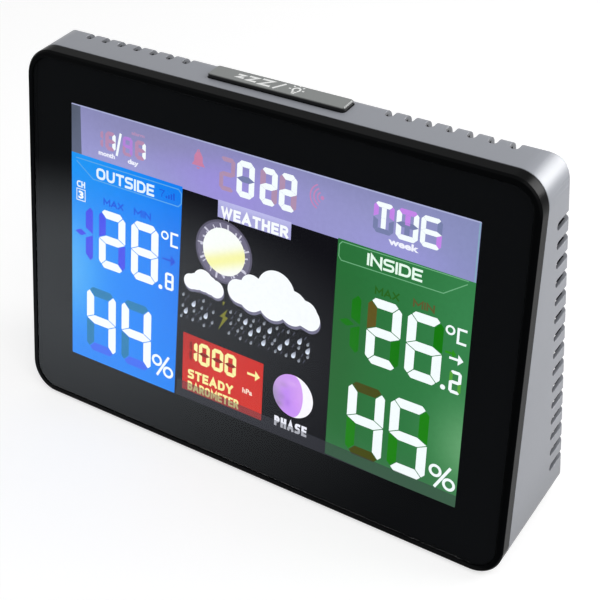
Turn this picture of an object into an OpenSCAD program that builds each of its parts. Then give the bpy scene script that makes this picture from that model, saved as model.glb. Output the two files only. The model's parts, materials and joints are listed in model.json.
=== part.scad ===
// Home weather station: a desk display that leans back, in a wedge-shaped vented housing.
// Millimetres, +Z up, +Y towards the back, origin on the table under the middle of the box.
// The front frame carries the panel, the display stack and the main board. The rear housing
// closes over them and carries the snooze bar, the keys, the battery bay and the power jack.

/* [Housing] */
// Width of the housing and the front frame
body_w = 198; // [190:1:212]
// how much further out each side stands at the base than at the top
base_flare = 4.2; // [3:0.1:5]
// Height of the front, measured up its slope
face_h = 140; // [137:0.5:150]
// How far the front leans back, in degrees
lean = 12; // [10:0.5:13]
// Depth of the base, front edge to back
base_depth = 50; // [49:0.2:58]
// Depth of the top, front edge to back
top_depth = 19; // [18:0.2:22]
// Radius of the four corners seen from the front
corner_r = 11; // [9:0.5:12]
// Radius of the edges round the back
back_edge_r = 3; // [2.6:0.1:4]
// Wall of the housing
wall = 2.2; // [1.8:0.1:2.4]

/* [Vent slots] */
// Width of a slot
slot_w = 3; // [2:0.1:3.6]
// Wall left where the slots are cut, thinner than the rest
slot_wall = 1.2; // [1:0.1:1.6]
// Distance from slot to slot on the top
top_slot_pitch = 7.1; // [6:0.1:7.4]
// Slots on the top, on each side of the snooze bar
top_slots = 7; // [3:1:7]
// Middle of the top slot nearest to the snooze bar, from the centre line
top_slot_start = 39.6; // [36:0.2:41]
// Length of a top slot in front of the back edge
top_slot_len = 5.6; // [4:0.2:7]
// How far a top slot runs down the back
top_slot_drop = 6; // [4:0.5:9]
// Distance from slot to slot on the sides
side_slot_pitch = 7; // [6:0.1:7.2]
// Slots on each side
side_slots = 15; // [6:1:15]
// Height of the lowest side slot above the bottom of the housing
side_slot_base = 19; // [17:0.5:22]
// Front end of the side slots, from the front edge of the base
side_slot_front = 38; // [34:0.5:42]
// How far a side slot runs round onto the back
side_slot_wrap = 5.4; // [4:0.1:5.6]

/* [Front frame] */
// Thickness of the front frame
frame_t = 4.5; // [4.2:0.1:5.5]
// Width of the raised lip round the panel
lip_w = 2.4; // [2:0.1:3]
// Chamfer on the outer edge of the lip
lip_chamfer = 0.6; // [0.3:0.1:1]
// Shadow gap between the front frame and the housing
part_gap = 0.3; // [0.2:0.05:0.6]
// Thickness of the shelf that carries the panel
shelf_t = 1.6; // [1.2:0.1:1.8]
// Wall of the tongue that enters the housing
tongue_t = 1.4; // [1:0.1:1.8]
// Reach of the tongue into the housing
tongue_l = 3; // [2:0.2:3.4]

/* [Panel and display] */
// Thickness of the front panel
panel_t = 1.5; // [1.2:0.1:2]
// Depth of the panel's face below the lip
panel_recess = 0.3; // [0.1:0.05:0.6]
// Groove between the panel and the lip
panel_gap = 0.25; // [0.15:0.05:0.4]
// Panel beside the picture, on each side
view_side = 17; // [16:0.5:19]
// Panel over the picture
view_head = 16.8; // [16:0.2:18]
// Panel below the picture
view_base = 20.6; // [19:0.2:22]
// Glass round the picture, hidden behind the panel's print
lcd_border = 2; // [1:0.1:2.4]
// Thickness of the display glass
lcd_t = 2.2; // [1.8:0.1:2.6]
// Thickness of the diffuser and of the reflector
sheet_t = 0.25; // [0.15:0.05:0.4]
// Thickness of the light guide
guide_t = 3; // [2:0.1:3.4]
// Walls of the display tray
tray_t = 1.2; // [1:0.1:1.6]
// Thickness of a contact strip
strip_t = 2; // [1.5:0.1:2.5]
// Diameter of the screw posts for the main board
board_post_d = 5; // [4.4:0.1:6]

/* [Snooze bar] */
// Length of the bar
bar_l = 53; // [40:1:58]
// Width of the bar
bar_w = 6.8; // [6:0.1:7]
// Height of the bar above the housing
bar_rise = 1.5; // [1:0.1:2.5]
// Travel of the bar
bar_travel = 1.2; // [0.6:0.1:1.4]
// Gap round the bar
bar_gap = 0.3; // [0.2:0.05:0.4]
// Flat left behind the bar, up to the back of the housing
bar_back = 3.2; // [3:0.1:3.6]

/* [Keys on the back] */
// Diameter of a key
key_d = 8; // [6:0.2:9]
// Distance from key to key
key_pitch = 14; // [12:0.5:15]
// Height of the row of keys, up the back
key_row = 108; // [100:1:110]
// Height of a key above its recess
key_rise = 1.2; // [0.9:0.1:1.6]
// Travel of a key
key_travel = 0.7; // [0.4:0.1:0.8]
// Gap round a key
key_gap = 0.25; // [0.15:0.05:0.4]
// Depth of the recess round the keys
key_recess = 0.6; // [0.3:0.1:0.8]

/* [Battery bay] */
// Diameter of a cell
cell_d = 10.4; // [9.5:0.1:10.6]
// Length of a cell with its button
cell_l = 44.4; // [42:0.2:46]
// Distance from cell to cell
cell_pitch = 11.6; // [11:0.1:12.4]
// Height of the middle of the bay, up the back
bay_row = 39; // [36:0.5:46]
// Thickness of the battery door
door_t = 2.4; // [2:0.1:2.8]
// Gap round the battery door
door_gap = 0.3; // [0.2:0.05:0.5]
// Ledge under the edge of the door
ledge = 2.6; // [2:0.1:3.2]
// Walls of the bay
bay_t = 1.6; // [1.2:0.1:2]
// Diameter of the door's hinge pins
hinge_pin_d = 1.3; // [1:0.1:1.5]

/* [Power jack] */
// Distance of the jack from the centre line
jack_x = 62; // [50:1:72]
// Height of the jack, up the back
jack_row = 16; // [14:0.5:24]
// Diameter of the jack's bore
jack_bore_d = 5.6; // [5.2:0.1:6]
// Diameter of the jack's centre pin
jack_pin_d = 2; // [1.3:0.1:2.5]

/* [Screws and feet] */
// Distance of the case screws from the side of the housing
screw_inset = 10; // [9.6:0.1:11]
// Height of the lower case screws
screw_low = 14; // [12:0.5:16]
// Distance of the upper case screws below the top
screw_high = 15; // [13:0.5:18]
// Diameter of a screw's shank
screw_d = 2.3; // [2:0.1:2.6]
// Diameter of a screw's head
screw_head_d = 5.2; // [4.4:0.1:5.4]
// Diameter of a foot
foot_d = 10; // [8:0.5:14]
// Height of a foot below the housing
foot_h = 0.8; // [0.5:0.1:2]
// Depth of a foot's seat
foot_seat = 0.7; // [0.4:0.1:1]

/* [Hidden] */
$fn = 48;

body_h = face_h * cos(lean);                 // height of the housing without its feet
back_top_y = face_h * sin(lean) + top_depth; // back edge of the top, from the front of the base
back_lean = atan((base_depth - back_top_y) / body_h);
hull_fn = 44;
eps = 0.01;
slot_margin = slot_w / 2 + 0.8;              // thin wall round a slot's middle line
side_in = 0.03;                              // how far a sloping side lies inside its corners
edge_out = 0.05;                             // how far outside the sides those edges start
edge_step = 18;                              // degrees from facet to facet of a back edge

// depths below the front plane, from the panel back to the main board
panel_back = panel_recess + panel_t;
shelf_back = panel_back + shelf_t;
lcd_front = panel_back + 0.2;
lcd_back = lcd_front + lcd_t;
guide_front = lcd_back + sheet_t;
guide_back = guide_front + guide_t;
tray_floor = guide_back + sheet_t;
board_front = tray_floor + tray_t;
board_t = 1.6;
board_back = board_front + board_t;

view_w = body_w - 2 * view_side;
view_h = face_h - view_base - view_head;
lcd_w = view_w + 2 * lcd_border;
lcd_h = view_h + 2 * lcd_border;
view_mid = view_base + view_h / 2;
tray_fit = 0.2;                              // play of the display in its tray
guide_w = lcd_w - 8;
guide_h = lcd_h - 2 * (strip_t + 2);
strip_mid = lcd_h / 2 - strip_t / 2 - 0.4;   // contact strips, from the display's middle
board_w = lcd_w;
board_edge = 4.6;                            // board beyond the tray, for its screw posts
board_base = view_mid - lcd_h / 2 - tray_t - tray_fit - 2 * board_edge;
board_top = view_mid + lcd_h / 2 + tray_t + tray_fit + 2 * board_edge - 0.8;
board_post_x = board_w / 2 - 24;
radio_x = 26 - board_w / 2;
radio_v = view_mid + 1;
radio_w = 20;
radio_h = 16;
radio_t = 1.2;
radio_header = 2.4;                          // height of the pins under the radio
radio_back = board_back + radio_header + radio_t;
antenna_d = 1;
antenna_l = 34;
buzzer_x = board_w / 2 - 28;
buzzer_d = 12;
board_post_rows = [board_base + board_edge, board_top - board_edge];

// case screws run along Y, and the two halves meet at their seats
screw_x = body_w / 2 - screw_inset;
screw_rows = [screw_low, body_h - screw_high];
screw_seat_l = 4;                            // plastic under a screw's head
boss_r = screw_head_d / 2 + 1.6;
pilot_d = screw_d + 0.1;

// snooze bar, in the flat of the top
bar_y = back_top_y - bar_back - bar_w / 2;
bar_flange_t = 1;
bar_flange_l = 1.6;
switch_v = board_top - 3.2;                  // tip of the snooze switch, up the slope
switch_d = board_back + 2.2;                 // middle of the snooze switch, below the front
switch_tip_y = switch_v * sin(lean) + switch_d * cos(lean);
switch_tip_z = switch_v * cos(lean) - switch_d * sin(lean);

// keys, from the outer face of the back inwards
key_flange_top = wall + 0.1;
key_flange_t = 0.8;
key_stem_end = key_flange_top + key_flange_t + 1.5;
key_switch_tip = key_stem_end + key_travel + 0.1;
key_switch_h = 3.6;
key_board_front = key_switch_tip + key_switch_h;
key_board_t = 1.6;
key_board_w = 5 * key_pitch + key_d + 18;
key_board_h = 16;
key_post_x = key_board_w / 2 - 4;
key_post_r = 2.4;

// battery bay, from the outer face of the back inwards
contact_d = cell_d - 2.4;
cell_button_d = 3.8;
cell_button_l = 1;
spring_l = 4.6;
spring_wire_d = 1.1;
spring_turns = 4;
plate_t = 0.5;
bay_w = cell_l + spring_l + 2 * plate_t + 0.4;
bay_h = 3 * cell_pitch;
door_w = bay_w + 2 * ledge;
door_h = bay_h + 2 * ledge;
bay_top = door_t + 0.2;
bay_floor = bay_top + cell_d + 0.6;
cell_x = (spring_l - plate_t) / 2;
cell_depth = bay_floor - cell_d / 2 - 0.15;
hinge_v = bay_row - door_h / 2 + door_t / 2;
hinge_pin_l = bay_t - 0.2;

jack_w = 9;
jack_h = 11;
jack_l = 13;
foot_x = body_w / 2 - 22;
foot_rows = [14, base_depth - 10];

// ---- places ----

// the housing's own frame: X across, Y back from the front edge of the base, Z up
module in_body() { translate([0, -base_depth / 2, foot_h]) children(); }

// the front plane: X across, Y up the slope, Z out of the front
module on_face() { in_body() rotate([90 - lean, 0, 0]) children(); }

// the back plane seen from behind: X across, Y up the back, Z out of the back
module on_back() {
    in_body() translate([0, base_depth, 0]) rotate([90 - back_lean, 0, 180]) children();
}

// a layer of the front stack, from depth d0 to depth d1 below the front plane
module face_layer(d0, d1) {
    on_face() translate([0, 0, -d1]) linear_extrude(d1 - d0) children();
}

// a layer of the back, from depth d0 to depth d1 below the back's outer face
module back_layer(d0, d1) {
    on_back() translate([0, 0, -d1]) linear_extrude(d1 - d0) children();
}

// an outline in X and Z carried back along Y
module along_depth(y0, y1) {
    in_body() translate([0, y1, 0]) rotate([90, 0, 0]) linear_extrude(y1 - y0) children();
}

// everything in front of a plane parallel to the front, at depth d
module ahead_of(d) {
    on_face() translate([-body_w, -face_h, -d]) cube([2 * body_w, 3 * face_h, base_depth + d]);
}

// ---- shapes ----

module rounded_rect(w, h, r) {
    square([w - 2 * r, h], center = true);
    square([w, h - 2 * r], center = true);
    for (x = [-1, 1], y = [-1, 1]) translate([x * (w / 2 - r), y * (h / 2 - r)]) circle(r);
}

// half the housing's width at height z
function half_width(z) = body_w / 2 + base_flare * (1 - z / body_h);

// how far out the centre of a corner lies at height v of an outline of height h
function corner_x(v, h) = half_width(v * body_h / h) - corner_r / cos(atan(base_flare / h));

// a rounded outline of height h that widens towards its base, drawn in by inset
module flared_outline(h, inset) {
    r = corner_r - inset;
    a = atan(base_flare / h);
    v0 = corner_r;
    v1 = h - corner_r;
    x0 = corner_x(v0, h);
    x1 = corner_x(v1, h);
    for (s = [-1, 1]) {
        translate([s * x0, v0]) circle(r);
        translate([s * x1, v1]) circle(r);
    }
    dx = (r - side_in) * cos(a);
    dv = (r - side_in) * sin(a);
    polygon([[x0, v0 - r], [x0 + dx, v0 + dv], [x1 + dx, v1 + dv], [x1, v1 + r], [-x1, v1 + r],
        [-x1 - dx, v1 + dv], [-x0 - dx, v0 + dv], [-x0, v0 - r]]);
}

// the outline of the housing seen along Y, drawn in by inset
module housing_outline(inset = 0) flared_outline(body_h, inset);

// thin discs at the four corners of an outline in X and Z, to be joined by a hull
module corner_discs(inset) for (x = [-1, 1], z = [corner_r, body_h - corner_r])
    translate([x * corner_x(z, body_h), 0, z]) rotate([90, 0, 0])
        cylinder(r = corner_r - inset, h = eps, $fn = hull_fn);

// the outline of the housing at y, drawn in by inset and leaning with the front
module front_slice(y, inset) {
    in_body() multmatrix([[1, 0, 0, 0], [0, 1, tan(lean), 0], [0, 0, 1, 0]])
        translate([0, y, 0]) corner_discs(inset);
}

// everything inside the left or right side, with a rounded back corner
module side_bound(s, r) on_back() mirror([s, 0, 0]) translate([half_width(0) + edge_out, 0, 0])
    rotate(atan(base_flare * cos(back_lean) / body_h)) rotate([90, 0, 0])
        linear_extrude(3 * face_h, center = true)
            polygon([[-2 * body_w, 0], for (a = [90:-edge_step:0]) [r * cos(a) - r, r * sin(a) - r],
                [0, -2 * base_depth], [-2 * body_w, -2 * base_depth]]);

// the housing seen from its right side, Y across and Z up, with rounded back corners
module side_profile(r) {
    back_y = base_depth - r / cos(back_lean);
    k = tan(back_lean);
    polygon([[-1, 0],
        for (a = [-90:edge_step:0]) [back_y - r * k + r * cos(a), r + r * sin(a)],
        for (a = [0:edge_step:90])
            [back_y - (body_h - r) * k + r * cos(a), body_h - r + r * sin(a)],
        [-1, body_h]]);
}

// the closed wedge with a rounded back
module wedge() intersection() {
    along_depth(0, base_depth) housing_outline();
    side_bound(0, back_edge_r);
    side_bound(1, back_edge_r);
    in_body() rotate([90, 0, 90]) linear_extrude(2 * body_w, center = true)
        side_profile(back_edge_r);
}

// a slot with a round front end, drawn in the plane of the wall it cuts
module slot_shape(l) {
    circle(d = slot_w);
    translate([0, -slot_w / 2]) square([l, slot_w]);
}

module screw(l, head_t) {
    cylinder(d = screw_d, h = l);
    translate([0, 0, -head_t]) difference() {
        cylinder(d = screw_head_d, h = head_t);
        for (a = [0, 90]) rotate(a) translate([0, 0, head_t / 4 - eps])
            cube([screw_head_d * 0.62, 0.7, head_t / 2], center = true);
    }
}

// ---- front frame, panel and display stack ----

module front_frame() color([0.06, 0.06, 0.07]) difference() {
    union() {
        difference() {
            hull() {
                front_slice(eps, lip_chamfer);
                front_slice(lip_chamfer, 0);
                front_slice(frame_t / cos(lean), 0);
            }
            // pocket for the panel
            face_layer(-1, panel_back)
                flared_outline(face_h, lip_w);
            // window for the display glass
            face_layer(panel_back - 1, shelf_back + 1) translate([0, view_mid])
                square([lcd_w + 2 * tray_fit, lcd_h + 2 * tray_fit], center = true);
            // hollow behind the shelf
            face_layer(shelf_back, frame_t + 2) translate([0, frame_t * tan(lean)])
                flared_outline(face_h, wall + 0.6);
        }
        // tongue that enters the housing
        intersection() {
            along_depth(0, base_depth) difference() {
                housing_outline(wall + 0.2);
                housing_outline(wall + 0.2 + tongue_t);
            }
            face_layer(panel_back + 0.4, frame_t + part_gap + tongue_l)
                translate([0, face_h / 2]) square([2 * body_w, 2 * face_h], center = true);
        }
        // posts for the main board
        for (x = [-1, 1], v = board_post_rows)
            face_layer(panel_back + 0.4, board_front) translate([x * board_post_x, v])
                circle(d = board_post_d);
        // bosses that meet the housing's bosses
        for (x = [-1, 1], z = screw_rows) difference() {
            along_depth(z * tan(lean) - 2, screw_seat_y(z)) translate([x * screw_x, z])
                circle(boss_r - 0.6);
            ahead_of(panel_back + 0.4);
        }
    }
    for (x = [-1, 1], v = board_post_rows)
        face_layer(shelf_back, board_front + 1) translate([x * board_post_x, v])
            circle(d = pilot_d);
    for (x = [-1, 1], z = screw_rows)
        along_depth(screw_seat_y(z) - 5, screw_seat_y(z) + 1) translate([x * screw_x, z])
            circle(d = pilot_d);
}

// where the frame's boss and the housing's boss meet, at height z
function screw_seat_y(z) = z * tan(lean) + shelf_back / cos(lean) + 5.6;

module front_panel() color([0.03, 0.03, 0.035]) face_layer(panel_recess, panel_back)
    flared_outline(face_h, lip_w + panel_gap);

module lcd_glass() color([0.25, 0.3, 0.45]) face_layer(lcd_front, lcd_back)
    translate([0, view_mid]) square([lcd_w, lcd_h], center = true);

module diffuser_sheet() color([0.95, 0.95, 0.97]) face_layer(lcd_back, guide_front)
    translate([0, view_mid]) square([guide_w, guide_h], center = true);

module light_guide() color([0.85, 0.92, 0.98]) face_layer(guide_front, guide_back)
    translate([0, view_mid]) square([guide_w, guide_h], center = true);

module reflector_sheet() color([0.9, 0.9, 0.92]) face_layer(guide_back, tray_floor)
    translate([0, view_mid]) square([guide_w, guide_h], center = true);

// white tray that holds the glass and the light guide, open towards the front
module display_tray() color([0.93, 0.93, 0.93]) difference() {
    face_layer(shelf_back, board_front) translate([0, view_mid])
        rounded_rect(lcd_w + 2 * (tray_t + tray_fit), lcd_h + 2 * (tray_t + tray_fit), 1.5);
    face_layer(shelf_back - 1, tray_floor) translate([0, view_mid])
        square([lcd_w + 2 * tray_fit, lcd_h + 2 * tray_fit], center = true);
    for (y = [-1, 1]) face_layer(shelf_back, board_front + 1)
        translate([0, view_mid + y * strip_mid]) square([lcd_w - 12, strip_t + 0.2], center = true);
}

// rubber strips that join the glass to the main board
module contact_strips() color([0.85, 0.45, 0.6]) for (y = [-1, 1])
    face_layer(lcd_back, board_front) translate([0, view_mid + y * strip_mid])
        square([lcd_w - 14, strip_t], center = true);

// lamps at both ends of the light guide
led_w = 1.6;
module backlight_leds() color([0.98, 0.96, 0.75])
    for (x = [-1, 1], i = [-2:2]) face_layer(guide_front + 0.4, tray_floor)
        translate([x * (guide_w / 2 + led_w / 2 + 0.1), view_mid + i * guide_h / 5.5])
            square([led_w, 3.5], center = true);

// ---- boards and what they carry ----

module main_board() color([0.1, 0.35, 0.18]) difference() {
    face_layer(board_front, board_back) translate([0, (board_base + board_top) / 2])
        rounded_rect(board_w, board_top - board_base, 2);
    for (x = [-1, 1], v = board_post_rows)
        face_layer(board_front - 1, board_back + 1) translate([x * board_post_x, v])
            circle(d = screw_d + 0.4);
}

// a part soldered to the back of the main board, h high
module on_board(x, v, h) {
    on_face() translate([x, v, -board_back - h]) linear_extrude(h) children();
}

module controller_chip() color([0.05, 0.05, 0.05]) on_board(-8, view_mid, 1.6)
    rounded_rect(16, 16, 1);

// the radio stands off the main board on its pin header, with a shield over its middle
module radio_module() color([0.15, 0.2, 0.55]) {
    on_board(radio_x, radio_v - radio_h / 3, radio_header) square([0.8 * radio_w, 2.4], center = true);
    face_layer(board_back + radio_header, radio_back) translate([radio_x, radio_v])
        square([radio_w, radio_h], center = true);
    face_layer(radio_back, radio_back + 1.8) translate([radio_x, radio_v + 1])
        rounded_rect(0.6 * radio_w, 0.56 * radio_h, 0.6);
}

// stiff aerial wire that stands on the radio module
module antenna() color([0.8, 0.8, 0.8]) on_face()
    translate([radio_x - 0.35 * radio_w, radio_v + radio_h / 2, -radio_back + radio_t / 2])
        rotate([-90, 0, 0]) cylinder(d = antenna_d, h = antenna_l);

module buzzer() color([0.08, 0.08, 0.08]) difference() {
    on_board(buzzer_x, view_mid + 4, 6.5) circle(d = buzzer_d);
    on_board(buzzer_x, view_mid + 4, 8) circle(d = 2.2);
}

// temperature and humidity element, beside the side slots
module air_sensor() color([0.95, 0.95, 0.95]) difference() {
    on_board(board_w / 2 - 7, view_mid - 10, 3) rounded_rect(8, 11, 0.8);
    for (i = [-1:1]) on_face()
        translate([board_w / 2 - 7, view_mid - 10 + i * 2.6, -board_back - 3])
            cube([5, 1, 1.6], center = true);
}

module snooze_switch() color([0.2, 0.2, 0.2]) {
    on_board(0, switch_v - 3, 4.4) square([6, 4], center = true);
    on_face() translate([0, switch_v - 1.2, -switch_d]) rotate([-90, 0, 0])
        cylinder(d = 3, h = 1.2);
}

// ---- rear housing ----

module top_slots_cut() in_body() for (x = [-1, 1], i = [0:top_slots - 1])
    translate([x * (top_slot_start + i * top_slot_pitch), back_top_y - top_slot_len + slot_w / 2,
        body_h - top_slot_drop]) rotate(90) linear_extrude(top_slot_drop + 1) slot_shape(20);

module side_slots_cut() in_body() for (x = [-1, 1], i = [0:side_slots - 1]) {
    z = side_slot_base + i * side_slot_pitch;
    translate([x * (half_width(z) - side_slot_wrap), side_slot_front + slot_w / 2, z])
        rotate([0, x * 90, 0]) rotate(90) linear_extrude(side_slot_wrap + 1)
            slot_shape(base_depth);
}

// the inside of the wall is cut back behind the slots
module slot_relief() intersection() {
    back_layer(wall + 0.3, base_depth) translate([0, face_h / 2])
        square([2 * body_w, 2 * face_h], center = true);
    for (s = [0, 1]) mirror([s, 0, 0]) in_body() {
        translate([top_slot_start - slot_margin, back_top_y - top_slot_len - 0.8,
            body_h - wall - 0.5])
            cube([(top_slots - 1) * top_slot_pitch + 2 * slot_margin, base_depth,
                wall + 0.5 - slot_wall]);
        translate([half_width(0), 0, 0]) rotate([0, -atan(base_flare / body_h), 0])
            translate([-wall - 0.5, side_slot_front - 0.8, side_slot_base - slot_margin])
                cube([wall + 0.5 - slot_wall, base_depth,
                    (side_slots - 1) * side_slot_pitch + 2 * slot_margin]);
    }
}

// the bay that holds the cells, as a solid block
module bay_block() back_layer(-1, bay_floor + bay_t) translate([0, bay_row])
    rounded_rect(door_w + 2 * (door_gap + bay_t), door_h + 2 * (door_gap + bay_t), 2);

module bay_cuts() {
    back_layer(-2, bay_top) translate([0, bay_row])
        rounded_rect(door_w + 2 * door_gap, door_h + 2 * door_gap, 1);
    back_layer(0, bay_floor) translate([0, bay_row]) square([bay_w, bay_h], center = true);
    // half-moon over the door for a fingernail
    back_layer(-2, door_t * 0.6) translate([0, bay_row + door_h / 2]) circle(d = 16);
    // holes for the hinge pins
    on_back() translate([0, hinge_v, -door_t / 2]) rotate([0, 90, 0])
        cylinder(d = hinge_pin_d + 0.16, h = door_w + 2 * (door_gap + bay_t) + 2, center = true);
}

// the hollow inside the housing, open towards the front
module hollow() intersection() {
    along_depth(-base_depth, 2 * base_depth) housing_outline(wall);
    back_layer(wall, 3 * base_depth) translate([0, face_h / 2])
        square([2 * body_w, 2 * face_h], center = true);
}

module rear_housing() color([0.6, 0.6, 0.62]) difference() {
    wedge();
    difference() {
        hollow();
        // tubes for the case screws
        for (x = [-1, 1], z = screw_rows)
            along_depth(screw_seat_y(z), base_depth) translate([x * screw_x, z]) circle(boss_r);
        bay_block();
        // posts for the key board
        for (x = [-1, 1]) back_layer(0, key_board_front) translate([x * key_post_x, key_row])
            circle(key_post_r);
        // ribs that stiffen the bottom, between the feet
        for (x = [-0.5, 0.5])
            in_body() translate([x * foot_x - 0.6, foot_rows[0], 0])
                cube([1.2, base_depth - foot_rows[0] - bay_floor - bay_t - 3, wall + 3]);
        // shelf under the jack
        in_body() translate([jack_x - jack_w / 2 + 1, base_depth - wall - jack_l * 0.8, 0])
            cube([jack_w - 2, jack_l * 0.6, jack_row - jack_h / 2 - (wall + jack_l) * sin(back_lean)]);
    }
    slot_relief();
    ahead_of(frame_t + part_gap);
    top_slots_cut();
    side_slots_cut();
    bay_cuts();
    // opening for the snooze bar
    in_body() translate([0, bar_y, body_h - 2 * wall]) linear_extrude(3 * wall)
        rounded_rect(bar_l + 2 * bar_gap, bar_w + 2 * bar_gap, 1.4);
    // recess and holes for the keys
    back_layer(-1, key_recess) translate([0, key_row])
        rounded_rect(5 * key_pitch + key_d + 8, key_d + 8, (key_d + 8) / 2 - 0.1);
    for (i = [0:5]) back_layer(0, wall + 1) translate([(i - 2.5) * key_pitch, key_row])
        circle(d = key_d + 2 * key_gap);
    for (x = [-1, 1]) back_layer(key_board_front - 5, key_board_front + 1)
        translate([x * key_post_x, key_row]) circle(d = pilot_d);
    // hole for the power plug
    back_layer(-1, wall + 0.5) translate([-jack_x, jack_row]) circle(d = jack_bore_d + 2.4);
    // case screws: clear hole, then a deep seat for the head
    for (x = [-1, 1], z = screw_rows) {
        along_depth(screw_seat_y(z) - 1, base_depth) translate([x * screw_x, z])
            circle(d = screw_d + 0.5);
        along_depth(screw_seat_y(z) + screw_seat_l, base_depth + 2) translate([x * screw_x, z])
            circle(d = screw_head_d + 0.5);
    }
    // seats for the feet
    for (x = [-1, 1], y = foot_rows) in_body() translate([x * foot_x, y, -1])
        cylinder(d = foot_d + 0.2, h = 1 + foot_seat);
}

// ---- snooze bar and keys ----

module snooze_bar() color([0.25, 0.26, 0.26]) {
    hull() {
        in_body() translate([0, bar_y, body_h - wall]) linear_extrude(wall + bar_rise - 0.4)
            rounded_rect(bar_l, bar_w, 1.1, $fn = hull_fn);
        in_body() translate([0, bar_y, body_h + bar_rise - eps]) linear_extrude(eps)
            rounded_rect(bar_l - 0.8, bar_w - 0.8, 0.7, $fn = hull_fn);
    }
    // flange that keeps the bar in its opening
    in_body() translate([0, bar_y, body_h - wall - 0.1 - bar_flange_t])
        linear_extrude(bar_flange_t + 0.2)
            square([bar_l, bar_w - 0.4], center = true);
    in_body() translate([0, bar_y, body_h - wall - 0.1 - bar_flange_t])
        linear_extrude(bar_flange_t)
            square([bar_l + 2 * bar_flange_l, bar_w - 0.4], center = true);
    // stem over the snooze switch
    in_body() translate([-4, bar_y - bar_w / 2 + 0.6, switch_tip_z + bar_travel + 0.3])
        cube([8, bar_w - 1.6, body_h - wall - 1 - switch_tip_z - bar_travel - 0.3]);
}

// one key: a rounded cap, a flange behind the wall and a stem towards its switch
module key(i) color([0.5, 0.5, 0.52]) on_back()
    translate([(i - 2.5) * key_pitch, key_row, 0]) rotate_extrude() {
        cap_top = key_rise - key_recess;
        translate([0, -key_flange_top - eps]) square([key_d / 2, key_flange_top + cap_top - 0.5 + eps]);
        translate([0, cap_top - 0.6]) square([key_d / 2 - 0.5, 0.6]);
        translate([key_d / 2 - 0.5, cap_top - 0.5]) circle(0.5);
        translate([0, -key_flange_top - key_flange_t]) square([key_d / 2 + 1.2, key_flange_t]);
        translate([0, -key_stem_end]) square([1.6, key_stem_end - key_flange_top]);
    }

module mode_key() key(0);
module set_key() key(1);
module up_key() key(2);
module down_key() key(3);
module channel_key() key(4);
module alarm_key() key(5);

module key_board() color([0.1, 0.35, 0.18]) difference() {
    back_layer(key_board_front, key_board_front + key_board_t) translate([0, key_row])
        rounded_rect(key_board_w, key_board_h, 2);
    for (x = [-1, 1]) back_layer(key_board_front - 1, key_board_front + key_board_t + 1)
        translate([x * key_post_x, key_row]) circle(d = screw_d + 0.4);
}

module key_switches() color([0.15, 0.15, 0.15]) for (i = [0:5]) {
    back_layer(key_switch_tip + 0.6, key_board_front)
        translate([(i - 2.5) * key_pitch, key_row]) square([6, 6], center = true);
    back_layer(key_switch_tip, key_switch_tip + 0.7)
        translate([(i - 2.5) * key_pitch, key_row]) circle(d = 3.4);
}

// flat cable from the key board to the main board
ribbon_w = 12;
ribbon_v = key_row - key_board_h / 2 + 2;
ribbon_z = ribbon_v * cos(back_lean);
module key_ribbon() color([0.75, 0.75, 0.78]) difference() {
    along_depth(ribbon_z * tan(lean), base_depth) translate([0, ribbon_z])
        square([ribbon_w, 0.8], center = true);
    ahead_of(board_back);
    back_layer(-20, key_board_front + key_board_t) translate([0, key_row])
        square([body_w, face_h], center = true);
}

// ---- battery bay ----

// the door turns on two pins along its lower edge, which is fully rounded
module battery_door() color([0.58, 0.58, 0.6]) {
    difference() {
        union() {
            back_layer(0, door_t) translate([0, bay_row + door_t / 4])
                square([door_w, door_h - door_t / 2], center = true);
            on_back() translate([0, hinge_v, -door_t / 2]) rotate([0, 90, 0])
                cylinder(d = door_t, h = door_w, center = true);
            on_back() translate([0, hinge_v, -door_t / 2]) rotate([0, 90, 0])
                cylinder(d = hinge_pin_d, h = door_w + 2 * (door_gap + hinge_pin_l), center = true);
        }
        // the lower corners are taken off outside the round edge
        for (s = [0, 1]) on_back() translate([-door_w / 2 - 1, hinge_v - door_t, s ? -door_t - 1 : 0])
            cube([door_w + 2, door_t, 1]);
        // grip grooves below the fingernail notch
        for (i = [0:3]) back_layer(-1, 0.5) translate([0, bay_row + door_h / 2 - 5 - i * 2.4])
            square([18 - i * 3, 1], center = true);
    }
    // ribs that press on the cells
    for (x = [-1, 1]) back_layer(door_t - eps, door_t + 0.35) translate([x * bay_w / 4, bay_row])
        square([1.2, bay_h - 6], center = true);
}

// +1 where a cell's button points to +X seen from behind, -1 where it points to -X
function cell_side(i) = i == 0 ? -1 : 1;

module cell(i) color(i == 0 ? [0.2, 0.45, 0.3] : [0.25, 0.5, 0.35]) on_back()
    translate([0, bay_row + i * cell_pitch, -cell_depth]) rotate([0, cell_side(i) * 90, 0]) {
        translate([0, 0, -cell_l / 2 + cell_x]) cylinder(d = cell_d, h = cell_l - cell_button_l);
        translate([0, 0, cell_l / 2 - cell_button_l + cell_x])
            cylinder(d = cell_button_d, h = cell_button_l);
    }

module battery_lower() cell(-1);
module battery_middle() cell(0);
module battery_upper() cell(1);

// coil springs on the flat ends of the cells
module battery_springs() color([0.8, 0.8, 0.82]) for (i = [-1:1]) on_back()
    translate([0, bay_row + i * cell_pitch, -cell_depth]) rotate([0, cell_side(i) * 90, 0]) {
        translate([0, 0, -bay_w / 2]) cylinder(d = contact_d, h = plate_t);
        for (k = [0:spring_turns - 1])
            translate([0, 0, -bay_w / 2 + plate_t + 0.35 + k * (spring_l - 1) / (spring_turns - 1)])
                rotate_extrude() translate([contact_d * 0.4 - k * 0.3, 0])
                    circle(d = spring_wire_d, $fn = 16);
    }

module battery_plates() color([0.8, 0.8, 0.82]) for (i = [-1:1]) on_back()
    translate([0, bay_row + i * cell_pitch, -cell_depth]) rotate([0, cell_side(i) * 90, 0])
        translate([0, 0, bay_w / 2 - plate_t]) cylinder(d = contact_d, h = plate_t);

// ---- power jack, leads, screws and feet ----

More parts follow.
